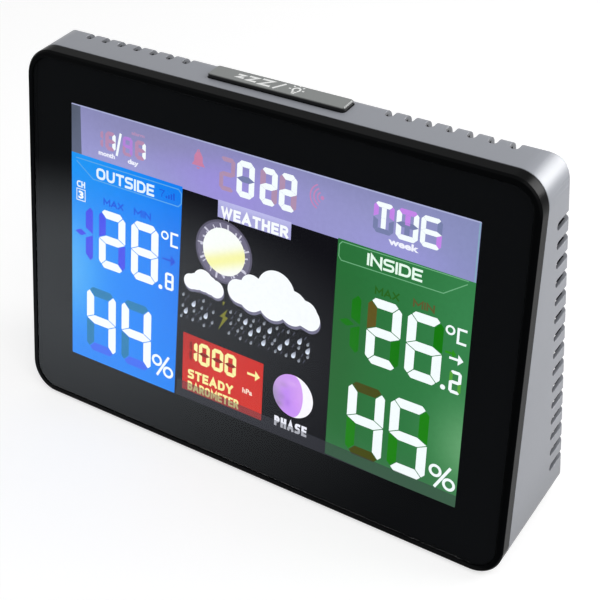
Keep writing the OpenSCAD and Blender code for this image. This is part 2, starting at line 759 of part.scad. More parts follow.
module power_jack() color([0.07, 0.07, 0.07]) {
    difference() {
        back_layer(wall, wall + jack_l) translate([-jack_x, jack_row])
            square([jack_w, jack_h], center = true);
        back_layer(wall - 1, wall + jack_l - 3) translate([-jack_x, jack_row])
            circle(d = jack_bore_d);
    }
    back_layer(wall + 1, wall + jack_l - 2) translate([-jack_x, jack_row]) circle(d = jack_pin_d);
}

// insulated leads from the battery bay and from the jack to the main board
lead_d = 1.3;
module supply_leads() color([0.75, 0.1, 0.1]) difference() {
    for (p = [[-6, bay_row], [6, bay_row], [jack_x - 2, jack_row], [jack_x + 2, jack_row]])
        along_depth(0, base_depth) translate([p[0], p[1] * cos(back_lean)]) circle(d = lead_d);
    ahead_of(board_back);
    back_layer(-20, bay_floor + bay_t) translate([0, bay_row]) square([door_w, door_h], center = true);
    back_layer(-20, wall + jack_l) translate([-jack_x, jack_row])
        square([jack_w, jack_h], center = true);
}

module case_screws() color([0.7, 0.7, 0.7]) for (x = [-1, 1], z = screw_rows) in_body()
    translate([x * screw_x, screw_seat_y(z) + screw_seat_l, z]) rotate([90, 0, 0])
        screw(screw_seat_l + 4, 2);

module board_screws() color([0.7, 0.7, 0.7]) {
    for (x = [-1, 1], v = board_post_rows) on_face()
        translate([x * board_post_x, v, -board_back]) screw(board_t + 4, 1.5);
    for (x = [-1, 1]) on_back()
        translate([x * key_post_x, key_row, -key_board_front - key_board_t])
            screw(key_board_t + 3.5, 1.5);
}

module rubber_feet() color([0.1, 0.1, 0.1]) for (x = [-1, 1], y = foot_rows) in_body()
    translate([x * foot_x, y, -foot_h]) {
        cylinder(d1 = foot_d - 0.6, d2 = foot_d, h = 0.3);
        translate([0, 0, 0.3]) cylinder(d = foot_d, h = foot_h + foot_seat - 0.3);
    }

front_frame();
front_panel();
lcd_glass();
diffuser_sheet();
light_guide();
reflector_sheet();
display_tray();
contact_strips();
backlight_leds();
main_board();
controller_chip();
radio_module();
antenna();
buzzer();
air_sensor();
snooze_switch();
snooze_bar();
rear_housing();
mode_key();
set_key();
up_key();
down_key();
channel_key();
alarm_key();
key_board();
key_switches();
key_ribbon();
battery_door();
battery_springs();
battery_plates();
battery_upper();
battery_middle();
battery_lower();
power_jack();
supply_leads();
case_screws();
board_screws();
rubber_feet();
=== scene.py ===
"""Home weather station: the looks built round its CAD frame."""

import json
import math

import bmesh
import bpy
import numpy as np
from mathutils import Matrix, Vector

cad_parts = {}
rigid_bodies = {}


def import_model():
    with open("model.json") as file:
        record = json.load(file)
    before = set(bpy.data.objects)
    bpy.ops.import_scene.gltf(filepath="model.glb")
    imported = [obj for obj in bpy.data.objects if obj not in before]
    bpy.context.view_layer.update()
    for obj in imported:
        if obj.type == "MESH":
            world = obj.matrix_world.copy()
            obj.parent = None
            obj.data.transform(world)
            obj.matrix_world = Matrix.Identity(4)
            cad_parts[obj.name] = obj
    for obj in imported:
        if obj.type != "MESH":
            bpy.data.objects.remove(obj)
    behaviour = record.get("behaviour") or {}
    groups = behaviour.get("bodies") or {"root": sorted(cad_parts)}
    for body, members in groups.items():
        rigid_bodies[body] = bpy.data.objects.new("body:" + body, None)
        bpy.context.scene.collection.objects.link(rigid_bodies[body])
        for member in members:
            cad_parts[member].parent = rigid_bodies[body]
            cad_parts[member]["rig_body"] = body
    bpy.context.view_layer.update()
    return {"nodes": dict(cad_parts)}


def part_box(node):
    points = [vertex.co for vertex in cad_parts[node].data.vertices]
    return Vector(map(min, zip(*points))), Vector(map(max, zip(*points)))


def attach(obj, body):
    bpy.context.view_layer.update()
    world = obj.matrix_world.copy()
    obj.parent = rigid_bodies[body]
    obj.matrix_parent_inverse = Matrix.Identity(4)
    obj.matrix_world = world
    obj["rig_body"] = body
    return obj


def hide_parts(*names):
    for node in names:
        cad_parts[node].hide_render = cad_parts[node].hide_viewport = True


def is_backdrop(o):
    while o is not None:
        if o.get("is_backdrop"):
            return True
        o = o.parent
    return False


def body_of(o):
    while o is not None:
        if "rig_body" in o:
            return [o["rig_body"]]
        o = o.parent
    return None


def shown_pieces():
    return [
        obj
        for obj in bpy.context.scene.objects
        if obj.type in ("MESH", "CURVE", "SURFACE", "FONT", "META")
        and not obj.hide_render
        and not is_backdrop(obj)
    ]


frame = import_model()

bl_info = {
    "name": "Weather station",
    "version": (1, 0, 0),
    "blender": (4, 5, 0),
    "location": "View3D > Sidebar > Weather station",
    "description": "Display picture, finishes and studio of a desk weather station",
    "category": "Object",
}

MM = 0.001
ROOT = "housing"

# layers of the picture, as depths below the front plane in mm: the panel's back face is at
# 1.8 and the display glass starts at 2.0. Shapes that overlap within a layer are a STEP apart
GROUND, FIELD, FRAME, GHOST, LIT, SIGN, TOP = 1.97, 1.95, 1.93, 1.91, 1.89, 1.87, 1.85
STEP = 0.002
PANEL_PRINT = 1.79
# how far the black print stops short of the panel's edge, mm
PRINT_MARGIN = 0.4
# how far a print stands up on the snooze bar and on the back, mm
BAR_PRINT_RISE, KEY_PRINT_RISE = 0.006, 0.02
# the rectangle the picture is drawn on, mm: width, height and lower edge up the slope
DRAWN_W, DRAWN_H, DRAWN_BASE = 164.0, 102.6, 20.6
# the coloured grounds run this far, a little past that rectangle, mm: to each side, down and up
SIDE, LOWEST, HIGHEST = 82.4, 19.6, 124.0
# the housing, mm: depth of its base and of its top, height of its front up the slope, and lean
BASE_DEPTH, TOP_DEPTH, FACE_H, LEAN = 50, 19, 140, math.radians(12)


# ---- settings ----


def srgb(hex_value):
    """The three values, from 0 to 1, of a hex colour such as "#1e90ff"."""
    return np.array([int(hex_value[i : i + 2], 16) / 255 for i in (1, 3, 5)])


def linear(colour):
    """An sRGB colour, as hex or as values from 0 to 1, as linear values: a straight line near
    black, and the 2.4th power of the shifted value above it."""
    s = srgb(colour) if isinstance(colour, str) else np.asarray(colour, float)
    return np.where(s <= 0.04045, s / 12.92, ((s + 0.055) / 1.055) ** 2.4)


def shade(name, text, hex_value):
    """A colour setting given as an sRGB hex value."""
    return bpy.props.FloatVectorProperty(
        name=name, description=text, subtype="COLOR", size=3, min=0, max=1,
        default=tuple(linear(hex_value)))


def length(name, text, mm):
    """A size setting, in mm."""
    return bpy.props.FloatProperty(name=name, description=text + ", mm", default=mm)


class StationSizes(bpy.types.PropertyGroup):
    """Sizes that tie the picture and the prints to the housing, in mm and degrees."""

    lean: bpy.props.FloatProperty(
        name="Lean", description="How far the front leans back", default=LEAN, subtype="ANGLE")
    back_lean: bpy.props.FloatProperty(
        name="Back lean", description="How far the back leans forwards", subtype="ANGLE",
        default=math.atan2(BASE_DEPTH - FACE_H * math.sin(LEAN) - TOP_DEPTH,
                           FACE_H * math.cos(LEAN)))
    base_depth: length("Base depth", "Depth of the base", BASE_DEPTH)
    face_h: length("Front height", "Height of the front up its slope", FACE_H)
    base_flare: length("Base flare", "How much further out each side stands at the base", 4.2)
    foot_h: length("Foot height", "Height of the feet", 0.8)
    window_w: length("Window width", "Width of the window at its base", 167)
    window_top_w: length("Window top width", "Width of the window at its top", 160.6)
    window_h: length("Window height", "Height of the window", 102.1)
    window_base: length("Window base", "Lower edge of the window up the slope", 20.5)


class StationColours(bpy.types.PropertyGroup):
    """Colours of the plastics and of the picture."""

    case: shade("Case", "Rear housing and battery door", "#979aa2")
    front: shade("Front frame", "Frame round the panel", "#060708")
    panel: shade("Panel print", "Print behind the clear panel", "#0b0c0e")
    # the snooze bar's two colours are painted light: black for its shaded sides, grey for its
    # lit top
    bar: shade("Snooze bar", "Sides of the bar on the top", "#0d0e0f")
    bar_top: shade("Snooze bar's top", "Worn top of the bar", "#8b8e8d")
    white: shade("Lit segments", "Lit digits and signs", "#fbffff")


def sizes():
    """The size settings."""
    return bpy.context.scene.station_sizes


def colours():
    """The colour settings."""
    return bpy.context.scene.station_colours


# ---- places ----


def face_point(u, v, depth):
    """Points of the front: u mm across, v mm up its slope, depth mm below it, as row positions.

    The front starts at the base's front edge and leans back by the lean, so going up the slope
    moves a point back by the sine and up by the cosine, and going deeper moves it back by the
    cosine and down by the sine."""
    s = sizes()
    c, k = math.cos(s.lean), math.sin(s.lean)
    u, v, depth = np.broadcast_arrays(*map(np.asarray, (u, v, depth)))
    y = -s.base_depth / 2 + v * k + depth * c
    return np.stack([u, y, s.foot_h + v * c - depth * k], -1) * MM


def widened(u, v):
    """Moves points drawn in the picture's rectangle into the window, which widens towards its
    base with the housing. With t the part of the height and g the lower width over the upper
    width, less one: the height becomes t (1 + g) / (1 + g t), and widths shrink by 1 + g t."""
    s = sizes()
    g = s.window_w / s.window_top_w - 1
    t = (v - DRAWN_BASE) / DRAWN_H
    scale = 1 + g * t
    return u / scale * s.window_w / DRAWN_W, s.window_base + s.window_h * t * (1 + g) / scale


def picture_point(u, v, depth):
    """Points of the picture: widened, then placed on the front."""
    return face_point(*widened(np.asarray(u), np.asarray(v)), depth)


def back_point(u, v, out):
    """Points of the back seen from behind: u mm across, v mm up the back, out mm clear of it.

    The back starts at the base's rear edge and leans forwards, so going up moves a point
    forwards by the sine of that lean and up by its cosine, and going out moves it back by the
    cosine and up by the sine."""
    s = sizes()
    c, k = math.cos(s.back_lean), math.sin(s.back_lean)
    u, v, out = np.broadcast_arrays(*map(np.asarray, (u, v, out)))
    y = s.base_depth / 2 - v * k + out * c
    return np.stack([-u, y, s.foot_h + v * c + out * k], -1) * MM


def top_point(u, w, rise):
    """Points of the snooze bar's top: u mm across, w mm back from the bar's middle, rise mm
    above it."""
    low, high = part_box("snooze_bar")
    middle = (low.y + high.y) / 2 / MM
    u, w, rise = np.broadcast_arrays(*map(np.asarray, (u, w, rise)))
    return np.stack([u, middle + w, high.z / MM + rise], -1) * MM


# ---- flat shapes ----


def clockwise(points):
    """Whether an outline turns to the right: its shoelace sum is below zero."""
    x, y = points[:, 0], points[:, 1]
    return np.sum(x * np.roll(y, -1) - np.roll(x, -1) * y) < 0


def inset(outline, d):
    """A closed outline without straight corners, moved inwards by d: each side is shifted
    along its normal and the new corners are where neighbouring sides cross."""
    p = np.asarray(outline, float)
    if clockwise(p):
        p = p[::-1]
    e = np.roll(p, -1, 0) - p
    e = e / np.linalg.norm(e, axis=1)[:, None]
    n = np.stack([-e[:, 1], e[:, 0]], 1)
    q = p + n * d
    e0, q0 = np.roll(e, 1, 0), np.roll(q, 1, 0)
    cross = e0[:, 0] * e[:, 1] - e0[:, 1] * e[:, 0]
    t = ((q - q0)[:, 0] * e[:, 1] - (q - q0)[:, 1] * e[:, 0]) / cross
    return q0 + e0 * t[:, None]


def rounded(outline, r, n=5):
    """A closed outline with each corner replaced by a quadratic curve that starts and ends r
    away from the corner, and leans on the corner itself."""
    p = np.asarray(outline, float)
    prev, after = np.roll(p, 1, 0), np.roll(p, -1, 0)
    a = p + (prev - p) / np.linalg.norm(prev - p, axis=1)[:, None] * r
    b = p + (after - p) / np.linalg.norm(after - p, axis=1)[:, None] * r
    t = np.linspace(0, 1, n)[None, :, None]
    curve = a[:, None] * (1 - t) ** 2 + 2 * p[:, None] * t * (1 - t) + b[:, None] * t**2
    return curve.reshape(-1, 2)


def bent(path, r, n=7):
    """An open line with each inner corner replaced by a quadratic curve that starts and ends r
    away from the corner, or nearly halfway along a shorter side."""
    p = np.asarray(path, float)
    middle, ends = p[1:-1], []
    for side in (p[:-2] - middle, p[2:] - middle):
        length = np.linalg.norm(side, axis=1)[:, None]
        ends.append(middle + side / length * np.minimum(r, 0.48 * length))
    t = np.linspace(0, 1, n)[None, :, None]
    curve = (ends[0][:, None] * (1 - t) ** 2 + 2 * middle[:, None] * t * (1 - t)
             + ends[1][:, None] * t**2)
    return np.vstack([p[:1], curve.reshape(-1, 2), p[-1:]])


def disc(u, v, r, n=48):
    """A circle: the centre plus r times the cosine and sine of n even steps of a turn."""
    a = np.linspace(0, 2 * np.pi, n, endpoint=False)
    return np.stack([u + r * np.cos(a), v + r * np.sin(a)], 1)


def box(u0, v0, u1, v1):
    """The four corners of an upright rectangle."""
    return np.array([(u0, v0), (u1, v0), (u1, v1), (u0, v1)], float)


def card(u0, v0, u1, v1, r, n=9):
    """A rounded rectangle: round each corner's centre, which is r in from both sides, r times
    the cosine and sine of a quarter turn."""
    a = np.linspace(0, np.pi / 2, n)[None, :] + np.arange(4)[:, None] * np.pi / 2
    u = np.array([u1 - r, u0 + r, u0 + r, u1 - r])[:, None] + r * np.cos(a)
    v = np.array([v1 - r, v1 - r, v0 + r, v0 + r])[:, None] + r * np.sin(a)
    return np.stack([u.ravel(), v.ravel()], 1)


def envelope(middle, discs, n=180):
    """The outline of joined discs seen from a middle point: along each ray, the farthest place
    where the ray leaves a disc."""
    a = np.linspace(0, 2 * np.pi, n, endpoint=False)
    d = np.stack([np.cos(a), np.sin(a)], 1)
    c = np.array([(x - middle[0], y - middle[1]) for x, y, r in discs])
    r = np.array([x[2] for x in discs])
    along = d @ c.T
    inside = r**2 - (c**2).sum(1) + along**2
    far = np.where(inside > 0, along + np.sqrt(np.maximum(inside, 0)), 0).max(1)
    return np.array(middle) + d * far[:, None]


def grid_faces(rows, cols):
    """Four-sided faces that join a grid of points, counted row after row."""
    i = np.arange(rows * cols).reshape(rows, cols)
    return np.stack([i[:-1, :-1], i[:-1, 1:], i[1:, 1:], i[1:, :-1]], -1).reshape(-1, 4)


def polar(u, v, radius, rings=14, n=121):
    """A disc as a grid: rings of growing radius, from a hair's breadth, on one side, and n
    angles round on the other."""
    a = np.linspace(0, 2 * np.pi, n)[None, :]
    r = np.linspace(0.01, radius, rings)[:, None]
    return np.stack([u + r * np.cos(a), v + r * np.sin(a)], -1)


class Print:
    """Flat shapes of one piece, gathered as points in mm with an ink colour and a layer."""

    def __init__(self):
        self.points, self.inks, self.faces, self.count = [], [], [], 0

    def add(self, points, faces, ink, layer):
        """Points and the faces that join them. The ink is hex, or linear values for the whole
        shape or for each point."""
        points = np.asarray(points, float)
        ink = linear(ink) if isinstance(ink, str) else ink
        self.points.append(np.c_[points, np.full(len(points), layer)])
        self.inks.append(np.broadcast_to(np.asarray(ink, float), (len(points), 3)))
        self.faces += [tuple(int(i) + self.count for i in f) for f in faces]
        self.count += len(points)

    def fill(self, outline, ink, layer):
        """One flat face inside an outline, turned to face outwards."""
        p = np.asarray(outline, float)
        self.add(p[::-1] if clockwise(p) else p, [range(len(p))], ink, layer)

    def grid(self, points, ink, layer):
        """A grid of rows and columns of points, joined by four-sided faces."""
        faces = grid_faces(*points.shape[:2])
        p = points.reshape(-1, 2)
        if clockwise(p[faces[0]]):
            faces = faces[:, ::-1]
        ink = ink.reshape(-1, 3) if getattr(ink, "ndim", 1) == 3 else ink
        self.add(p, faces.tolist(), ink, layer)

    def ring(self, u, v, r0, r1, ink, layer, start=0.0, end=360.0, n=48):
        """A ring or an arc of a ring: radius on one side of the grid, angle on the other."""
        a = np.radians(np.linspace(start, end, n + 1))[None, :]
        r = np.array([r0, r1])[:, None]
        self.grid(np.stack([u + r * np.cos(a), v + r * np.sin(a)], -1), ink, layer)

    def ribbon(self, path, width, ink, layer, closed=False):
        """A line of even width: each point of the path is moved to both sides along the mean of
        its neighbours' normals, by more where the path turns, but no more than 2.5 times."""
        p = np.asarray(path, float)
        before = np.roll(p, 1, 0) if closed else np.vstack([2 * p[0] - p[1], p[:-1]])
        after = np.roll(p, -1, 0) if closed else np.vstack([p[1:], 2 * p[-1] - p[-2]])
        a, b = p - before, after - p
        a /= np.linalg.norm(a, axis=1)[:, None]
        b /= np.linalg.norm(b, axis=1)[:, None]
        m = np.stack([-(a + b)[:, 1], (a + b)[:, 0]], 1)
        m /= np.linalg.norm(m, axis=1)[:, None]
        reach = width / 2 / np.maximum((m * np.stack([-a[:, 1], a[:, 0]], 1)).sum(1), 0.4)
        rows = np.stack([p + m * reach[:, None], p - m * reach[:, None]])
        if closed:
            rows = np.concatenate([rows, rows[:, :1]], 1)
        self.grid(rows, ink, layer)

    def word(self, text, u0, v0, u1, v1, ink, layer, weight=0.0):
        """Letters of the built-in face, thickened by weight, stretched to fill a box."""
        curve = bpy.data.curves.new("word", "FONT")
        curve.body, curve.offset, curve.resolution_u = text, weight, 3
        shown = linked("word", curve)
        mesh = bpy.data.meshes.new_from_object(
            shown.evaluated_get(bpy.context.evaluated_depsgraph_get()))
        p = np.empty(len(mesh.vertices) * 3)
        mesh.vertices.foreach_get("co", p)
        p = p.reshape(-1, 3)[:, :2]
        low, high = p.min(0), p.max(0)
        p = (p - low) / (high - low) * [u1 - u0, v1 - v0] + [u0, v0]
        self.add(p, [tuple(f.vertices) for f in mesh.polygons], ink, layer)
        bpy.data.objects.remove(shown)
        bpy.data.curves.remove(curve)
        bpy.data.meshes.remove(mesh)

    def letters(self, text, u0, v0, u1, v1, stroke, ink, layer, space=0.45):
        """Bold letters of one stroke width that fill a box. Each letter's lines are scaled to
        the box less the stroke, lengthened by half a stroke at both ends, and bent."""
        widths = [GLYPHS[c][0] for c in text]
        gap = stroke * (1 + space)
        across = (u1 - u0 - stroke - (len(text) - 1) * gap) / sum(widths)
        up, left = v1 - v0 - stroke, u0 + stroke / 2
        for c, w in zip(text, widths):
            for path in GLYPHS[c][2:]:
                p = np.array(path, float) * [across, up] + [left, v0 + stroke / 2]
                start, end = p[0] - p[1], p[-1] - p[-2]
                p[0] += start / np.linalg.norm(start) * stroke / 2
                p[-1] += end / np.linalg.norm(end) * stroke / 2
                self.ribbon(bent(p, GLYPHS[c][1] * up) if GLYPHS[c][1] else p, stroke, ink,
                            layer)
            left += w * across + gap

    def piece(self, name, place, material, body=ROOT, slot="lcd"):
        """The gathered shapes as a mesh placed by a function of (u, v, layer)."""
        p = np.concatenate(self.points)
        mesh = bpy.data.meshes.new(name)
        mesh.from_pydata(place(p[:, 0], p[:, 1], p[:, 2]).tolist(), [], self.faces)
        ink = mesh.color_attributes.new("ink", "FLOAT_COLOR", "POINT")
        rgba = np.c_[np.concatenate(self.inks), np.ones(len(p))]
        ink.data.foreach_set("color", rgba.astype(np.float32).ravel())
        mesh.materials.append(material)
        return placed(mesh, name, body)


def linked(name, data):
    """A new object of the scene that shows a mesh, a text, a lamp or a camera."""
    obj = bpy.data.objects.new(name, data)
    bpy.context.scene.collection.objects.link(obj)
    return obj


def placed(mesh, name, body):
    """A new object for a mesh, riding on a body."""
    obj = linked(name, mesh)
    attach(obj, body)
    return obj


# ---- letters and segment digits ----

# letters of height 1: width, how round the corners are, then the lines of points
GLYPHS = {
    "A": (0.78, 0, [(0, 0), (0.39, 1), (0.78, 0)], [(0.16, 0.28), (0.62, 0.28)]),
    "B": (0.62, 0.22, [(0, 0), (0, 1)], [(0, 1), (0.56, 1), (0.56, 0.53), (0, 0.53)],
          [(0, 0.53), (0.62, 0.53), (0.62, 0), (0, 0)]),
    "C": (0.66, 0.48, [(0.66, 1), (0, 1), (0, 0), (0.66, 0)]),
    "D": (0.66, 0.48, [(0, 0), (0, 1)], [(0, 1), (0.66, 1), (0.66, 0), (0, 0)]),
    "E": (0.54, 0, [(0.54, 1), (0, 1), (0, 0), (0.54, 0)], [(0, 0.5), (0.48, 0.5)]),
    "H": (0.64, 0, [(0, 0), (0, 1)], [(0.64, 0), (0.64, 1)], [(0, 0.5), (0.64, 0.5)]),
    "I": (0.0, 0, [(0, 0), (0, 1)]),
    "M": (0.86, 0, [(0, 0), (0, 1), (0.43, 0.3), (0.86, 1), (0.86, 0)]),
    "N": (0.66, 0, [(0, 0), (0, 1), (0.66, 0), (0.66, 1)]),
    "O": (0.72, 0.48, [(0, 0.5), (0, 1), (0.72, 1), (0.72, 0), (0, 0), (0, 0.5)]),
    "P": (0.58, 0.26, [(0, 0), (0, 1)], [(0, 1), (0.58, 1), (0.58, 0.45), (0, 0.45)]),
    "R": (0.62, 0.26, [(0, 0), (0, 1)], [(0, 1), (0.6, 1), (0.6, 0.47), (0, 0.47)],
          [(0.3, 0.47), (0.62, 0)]),
    "S": (0.6, 0.26, [(0.58, 1), (0, 1), (0, 0.52), (0.6, 0.52), (0.6, 0), (0, 0)]),
    "T": (0.62, 0, [(0, 1), (0.62, 1)], [(0.31, 1), (0.31, 0)]),
    "U": (0.66, 0.45, [(0, 1), (0, 0), (0.66, 0), (0.66, 1)]),
    "W": (1.0, 0, [(0, 1), (0.25, 0), (0.5, 0.9), (0.75, 0), (1, 1)]),
    "X": (0.68, 0, [(0, 0), (0.68, 1)], [(0, 1), (0.68, 0)]),
    "Y": (0.7, 0, [(0, 1), (0.35, 0.48), (0.7, 1)], [(0.35, 0.48), (0.35, 0)]),
    "Z": (0.62, 0, [(0, 1), (0.62, 1), (0, 0), (0.62, 0)]),
    "+": (0.6, 0, [(0, 0.5), (0.6, 0.5)], [(0.3, 0.2), (0.3, 0.8)]),
    "-": (0.6, 0, [(0, 0.5), (0.6, 0.5)]),
}

# the segments that are lit: a to g round the digit from its top, h and i the two halves of a
# stem up the middle
SEGMENTS = {
    "0": "abcdef", "1": "bc", "2": "abged", "3": "abgcd", "4": "fgbc", "5": "afgcd",
    "6": "afgedc", "7": "abc", "8": "abcdefg", "9": "abcdfg", " ": "",
    "T": "ahi", "U": "bcdef", "E": "adefg",
}
# shares of a segment's stroke: the digit's outer chamfer, how round each corner is, and the gap
# between segments, which is wide where the stroke is over BROAD mm
CHAMFER, CORNER, WIDE_GAP, FINE_GAP, BROAD = 0.75, 0.07, 0.08, 0.02, 3.0


def segments(w, h, t, chamfer, gap):
    """The outlines of one digit's segments, from its lower left corner. Upright and level bars
    meet on the line from the inner corner to the middle of the outer chamfer, and the middle
    bar is a hexagon between them; the letter T's stem is a bar on the middle line. Each outline
    is then drawn in by half the gap, and its corners are rounded."""
    m, c = h / 2, chamfer
    top = [(c / 2, h - c / 2), (c, h), (w - c, h), (w - c / 2, h - c / 2), (w - t, h - t),
           (t, h - t)]
    left = [(c / 2, h - c / 2), (t, h - t), (t, m + t / 2), (0, m), (0, h - c)]
    bar = [(0, m), (t, m + t / 2), (w - t, m + t / 2), (w, m), (w - t, m - t / 2),
           (t, m - t / 2)]
    stem = box(w / 2 - t / 2, m, w / 2 + t / 2, h - t)
    shapes = {"a": top, "f": left, "g": bar, "h": stem}
    mirror_u = lambda p: [(w - x, y) for x, y in p]
    mirror_v = lambda p: [(x, h - y) for x, y in p]
    shapes["b"] = mirror_u(left)
    shapes["e"] = mirror_v(left)
    shapes["c"] = mirror_v(mirror_u(left))
    shapes["d"] = mirror_v(top)
    shapes["i"] = mirror_v(stem)
    return {k: rounded(inset(p, gap / 2), CORNER * t, 4) for k, p in shapes.items()}


# ---- materials ----

# sizes in mm of what the materials show: how high the moulds' grain stands, how wide the broad
# mottle of a moulding is, and how wide the mottle of the diffuser sheet is
GRAIN_HEIGHT, MOTTLE, DIFFUSER_MOTTLE = 0.02, 14, 1.6
# painted shade: a hollow's colour falls to PAINTED_SHADE_DARK of its own between these shares
# of open surroundings, read from ambient occlusion
PAINTED_SHADE_SHUT, PAINTED_SHADE_OPEN, PAINTED_SHADE_DARK = 0.1, 0.8, 0.05
# the snooze bar's colour turns from the sides' painted shade to the top's painted light from
# the first to the second of these depths under its top, mm
PAINTED_LIGHT_FROM, PAINTED_LIGHT_TO = 0.3, 0.05
# the numbered sockets of a colour mix, and of a shader mix
MIX_COLOUR_A, MIX_COLOUR_B, MIX_COLOUR_OUT = 6, 7, 2
MIX_SHARE, MIX_FIRST, MIX_SECOND = 0, 1, 2


def node(tree, kind, settings=None, links=None):
    """Adds a node, sets its inputs and properties, and links its inputs, which go by name or
    by number. A link comes from an output, or from a node's first output."""
    made = tree.nodes.new(kind)
    for key, value in (settings or {}).items():
        if isinstance(key, int) or key in made.inputs:
            made.inputs[key].default_value = value
        else:
            setattr(made, key, value)
    for key, source in (links or {}).items():
        source = source.outputs[0] if isinstance(source, bpy.types.Node) else source
        tree.links.new(source, made.inputs[key])
    return made


def blank(name):
    """A material without nodes, and its tree."""
    m = bpy.data.materials.new(name)
    m.use_nodes = True
    m.node_tree.nodes.clear()
    return m, m.node_tree


def place_mm(tree):
    """Object coordinates in millimetres."""
    at = node(tree, "ShaderNodeTexCoord").outputs["Object"]
    return node(tree, "ShaderNodeVectorMath", {"operation": "SCALE", "Scale": 1 / MM}, {0: at})


def plastic(name, colour, roughness, grain_mm, bump, mottle=0.0, coat=0.0, ior=1.5,
            metallic=0.0, gloss=0.5, cavity_mm=0.0, edge_mm=0.0):
    """A moulded plastic, metal or rubber: one colour, with a fine grain that lifts the surface
    and a broad mottle that shifts the colour a little. With a painted shade size, the colour
    is darkened by ambient occlusion within that distance: painted shade inside the closed
    case, in hollows and near the floor. With an edge size, light turns round every edge as
    over a radius of that size."""
    m, tree = blank(name)
    rgba = (*linear(colour), 1) if isinstance(colour, str) else (*colour, 1)
    m.diffuse_color = rgba
    at = place_mm(tree)
    grain = node(tree, "ShaderNodeTexNoise", {"Scale": 1 / grain_mm, "Detail": 2.0},
                 {"Vector": at})
    lift = node(tree, "ShaderNodeBump", {"Strength": bump, "Distance": GRAIN_HEIGHT * MM},
                {"Height": grain})
    if edge_mm:
        soft = node(tree, "ShaderNodeBevel", {"Radius": edge_mm * MM, "samples": 6})
        tree.links.new(soft.outputs[0], lift.inputs["Normal"])
    cloud = node(tree, "ShaderNodeTexNoise", {"Scale": 1 / MOTTLE, "Detail": 3.0},
                 {"Vector": at})
    shift = node(tree, "ShaderNodeMapRange", {"To Min": 1 - mottle, "To Max": 1 + mottle},
                 {"Value": cloud})
    paint = node(tree, "ShaderNodeVectorMath", {"operation": "SCALE", 0: rgba[:3]},
                 {"Scale": shift})
    # painted shade: ambient occlusion darkens the colour in hollows, inside the closed case and
    # near the floor
    if cavity_mm:
        free = node(tree, "ShaderNodeAmbientOcclusion",
                    {"Distance": cavity_mm * MM, "samples": 8})
        level = node(tree, "ShaderNodeMapRange",
                     {"From Min": PAINTED_SHADE_SHUT, "From Max": PAINTED_SHADE_OPEN, "To Min": PAINTED_SHADE_DARK},
                     {"Value": free.outputs["AO"]})
        paint = node(tree, "ShaderNodeVectorMath", {"operation": "SCALE"},
                     {0: paint, "Scale": level})
    shader = node(tree, "ShaderNodeBsdfPrincipled",
                  {"Base Color": rgba, "Roughness": roughness, "IOR": ior, "Metallic": metallic,
                   "Coat Weight": coat, "Specular IOR Level": gloss},
                  {"Base Color": paint, "Normal": lift})
    node(tree, "ShaderNodeOutputMaterial", links={"Surface": shader})
    return m


def repainted(m, output):
    """The same plastic with its colour taken from an output."""
    m.node_tree.links.new(output, m.node_tree.nodes["Principled BSDF"].inputs["Base Color"])
    return m


def painted_light_top(name, colour, top_colour, *settings, **more):
    """A dull black moulding whose level top is painted paler, as painted light on the top over
    painted shade on the sides: the colour turns from the sides' to the top's over a quarter of
    a millimetre, just under the snooze bar's top."""
    m = plastic(name, colour, *settings, **more)
    tree = m.node_tree
    sides = tree.nodes["Principled BSDF"].inputs["Base Color"].links[0].from_socket
    height = node(tree, "ShaderNodeSeparateXYZ", links={"Vector": place_mm(tree)})
    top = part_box("snooze_bar")[1].z / MM
    # painted light on the top, painted shade on the sides
    share = node(tree, "ShaderNodeMapRange",
                 {"From Min": top - PAINTED_LIGHT_FROM, "From Max": top - PAINTED_LIGHT_TO},
                 {"Value": height.outputs["Z"]})
    both = node(tree, "ShaderNodeMix", {"data_type": "RGBA", MIX_COLOUR_B: (*top_colour, 1)},
                {"Factor": share, MIX_COLOUR_A: sides})
    return repainted(m, both.outputs[MIX_COLOUR_OUT])


def screen_print(name):
    """Black screen ink seen through the panel: flat, deep and without a gloss of its own."""
    return plastic(name, colours().panel[:], roughness=0.8, grain_mm=0.3, bump=0.1,
                   mottle=0.05, gloss=0.0)


def pad_print(name):
    """Pad-printed ink: matt, in its own colour."""
    m = plastic(name, "#808080", roughness=0.7, grain_mm=0.25, bump=0.1)
    ink = node(m.node_tree, "ShaderNodeAttribute", {"attribute_name": "ink"})
    return repainted(m, ink.outputs["Color"])


def lit_ink(name, low, high):
    """Coloured film over a lit light guide: it shines evenly in its own colour, with the faint
    mottle of the diffuser behind it."""
    m, tree = blank(name)
    ink = node(tree, "ShaderNodeAttribute", {"attribute_name": "ink"})
    cloud = node(tree, "ShaderNodeTexNoise", {"Scale": 1 / DIFFUSER_MOTTLE, "Detail": 3.0},
                 {"Vector": place_mm(tree)})
    level = node(tree, "ShaderNodeMapRange", {"To Min": low, "To Max": high}, {"Value": cloud})
    tint = node(tree, "ShaderNodeVectorMath", {"operation": "SCALE"},
                {0: ink.outputs["Color"], "Scale": level})
    glow = node(tree, "ShaderNodeEmission", {"Strength": 1.0}, {"Color": tint})
    node(tree, "ShaderNodeOutputMaterial", links={"Surface": glow})
    return m


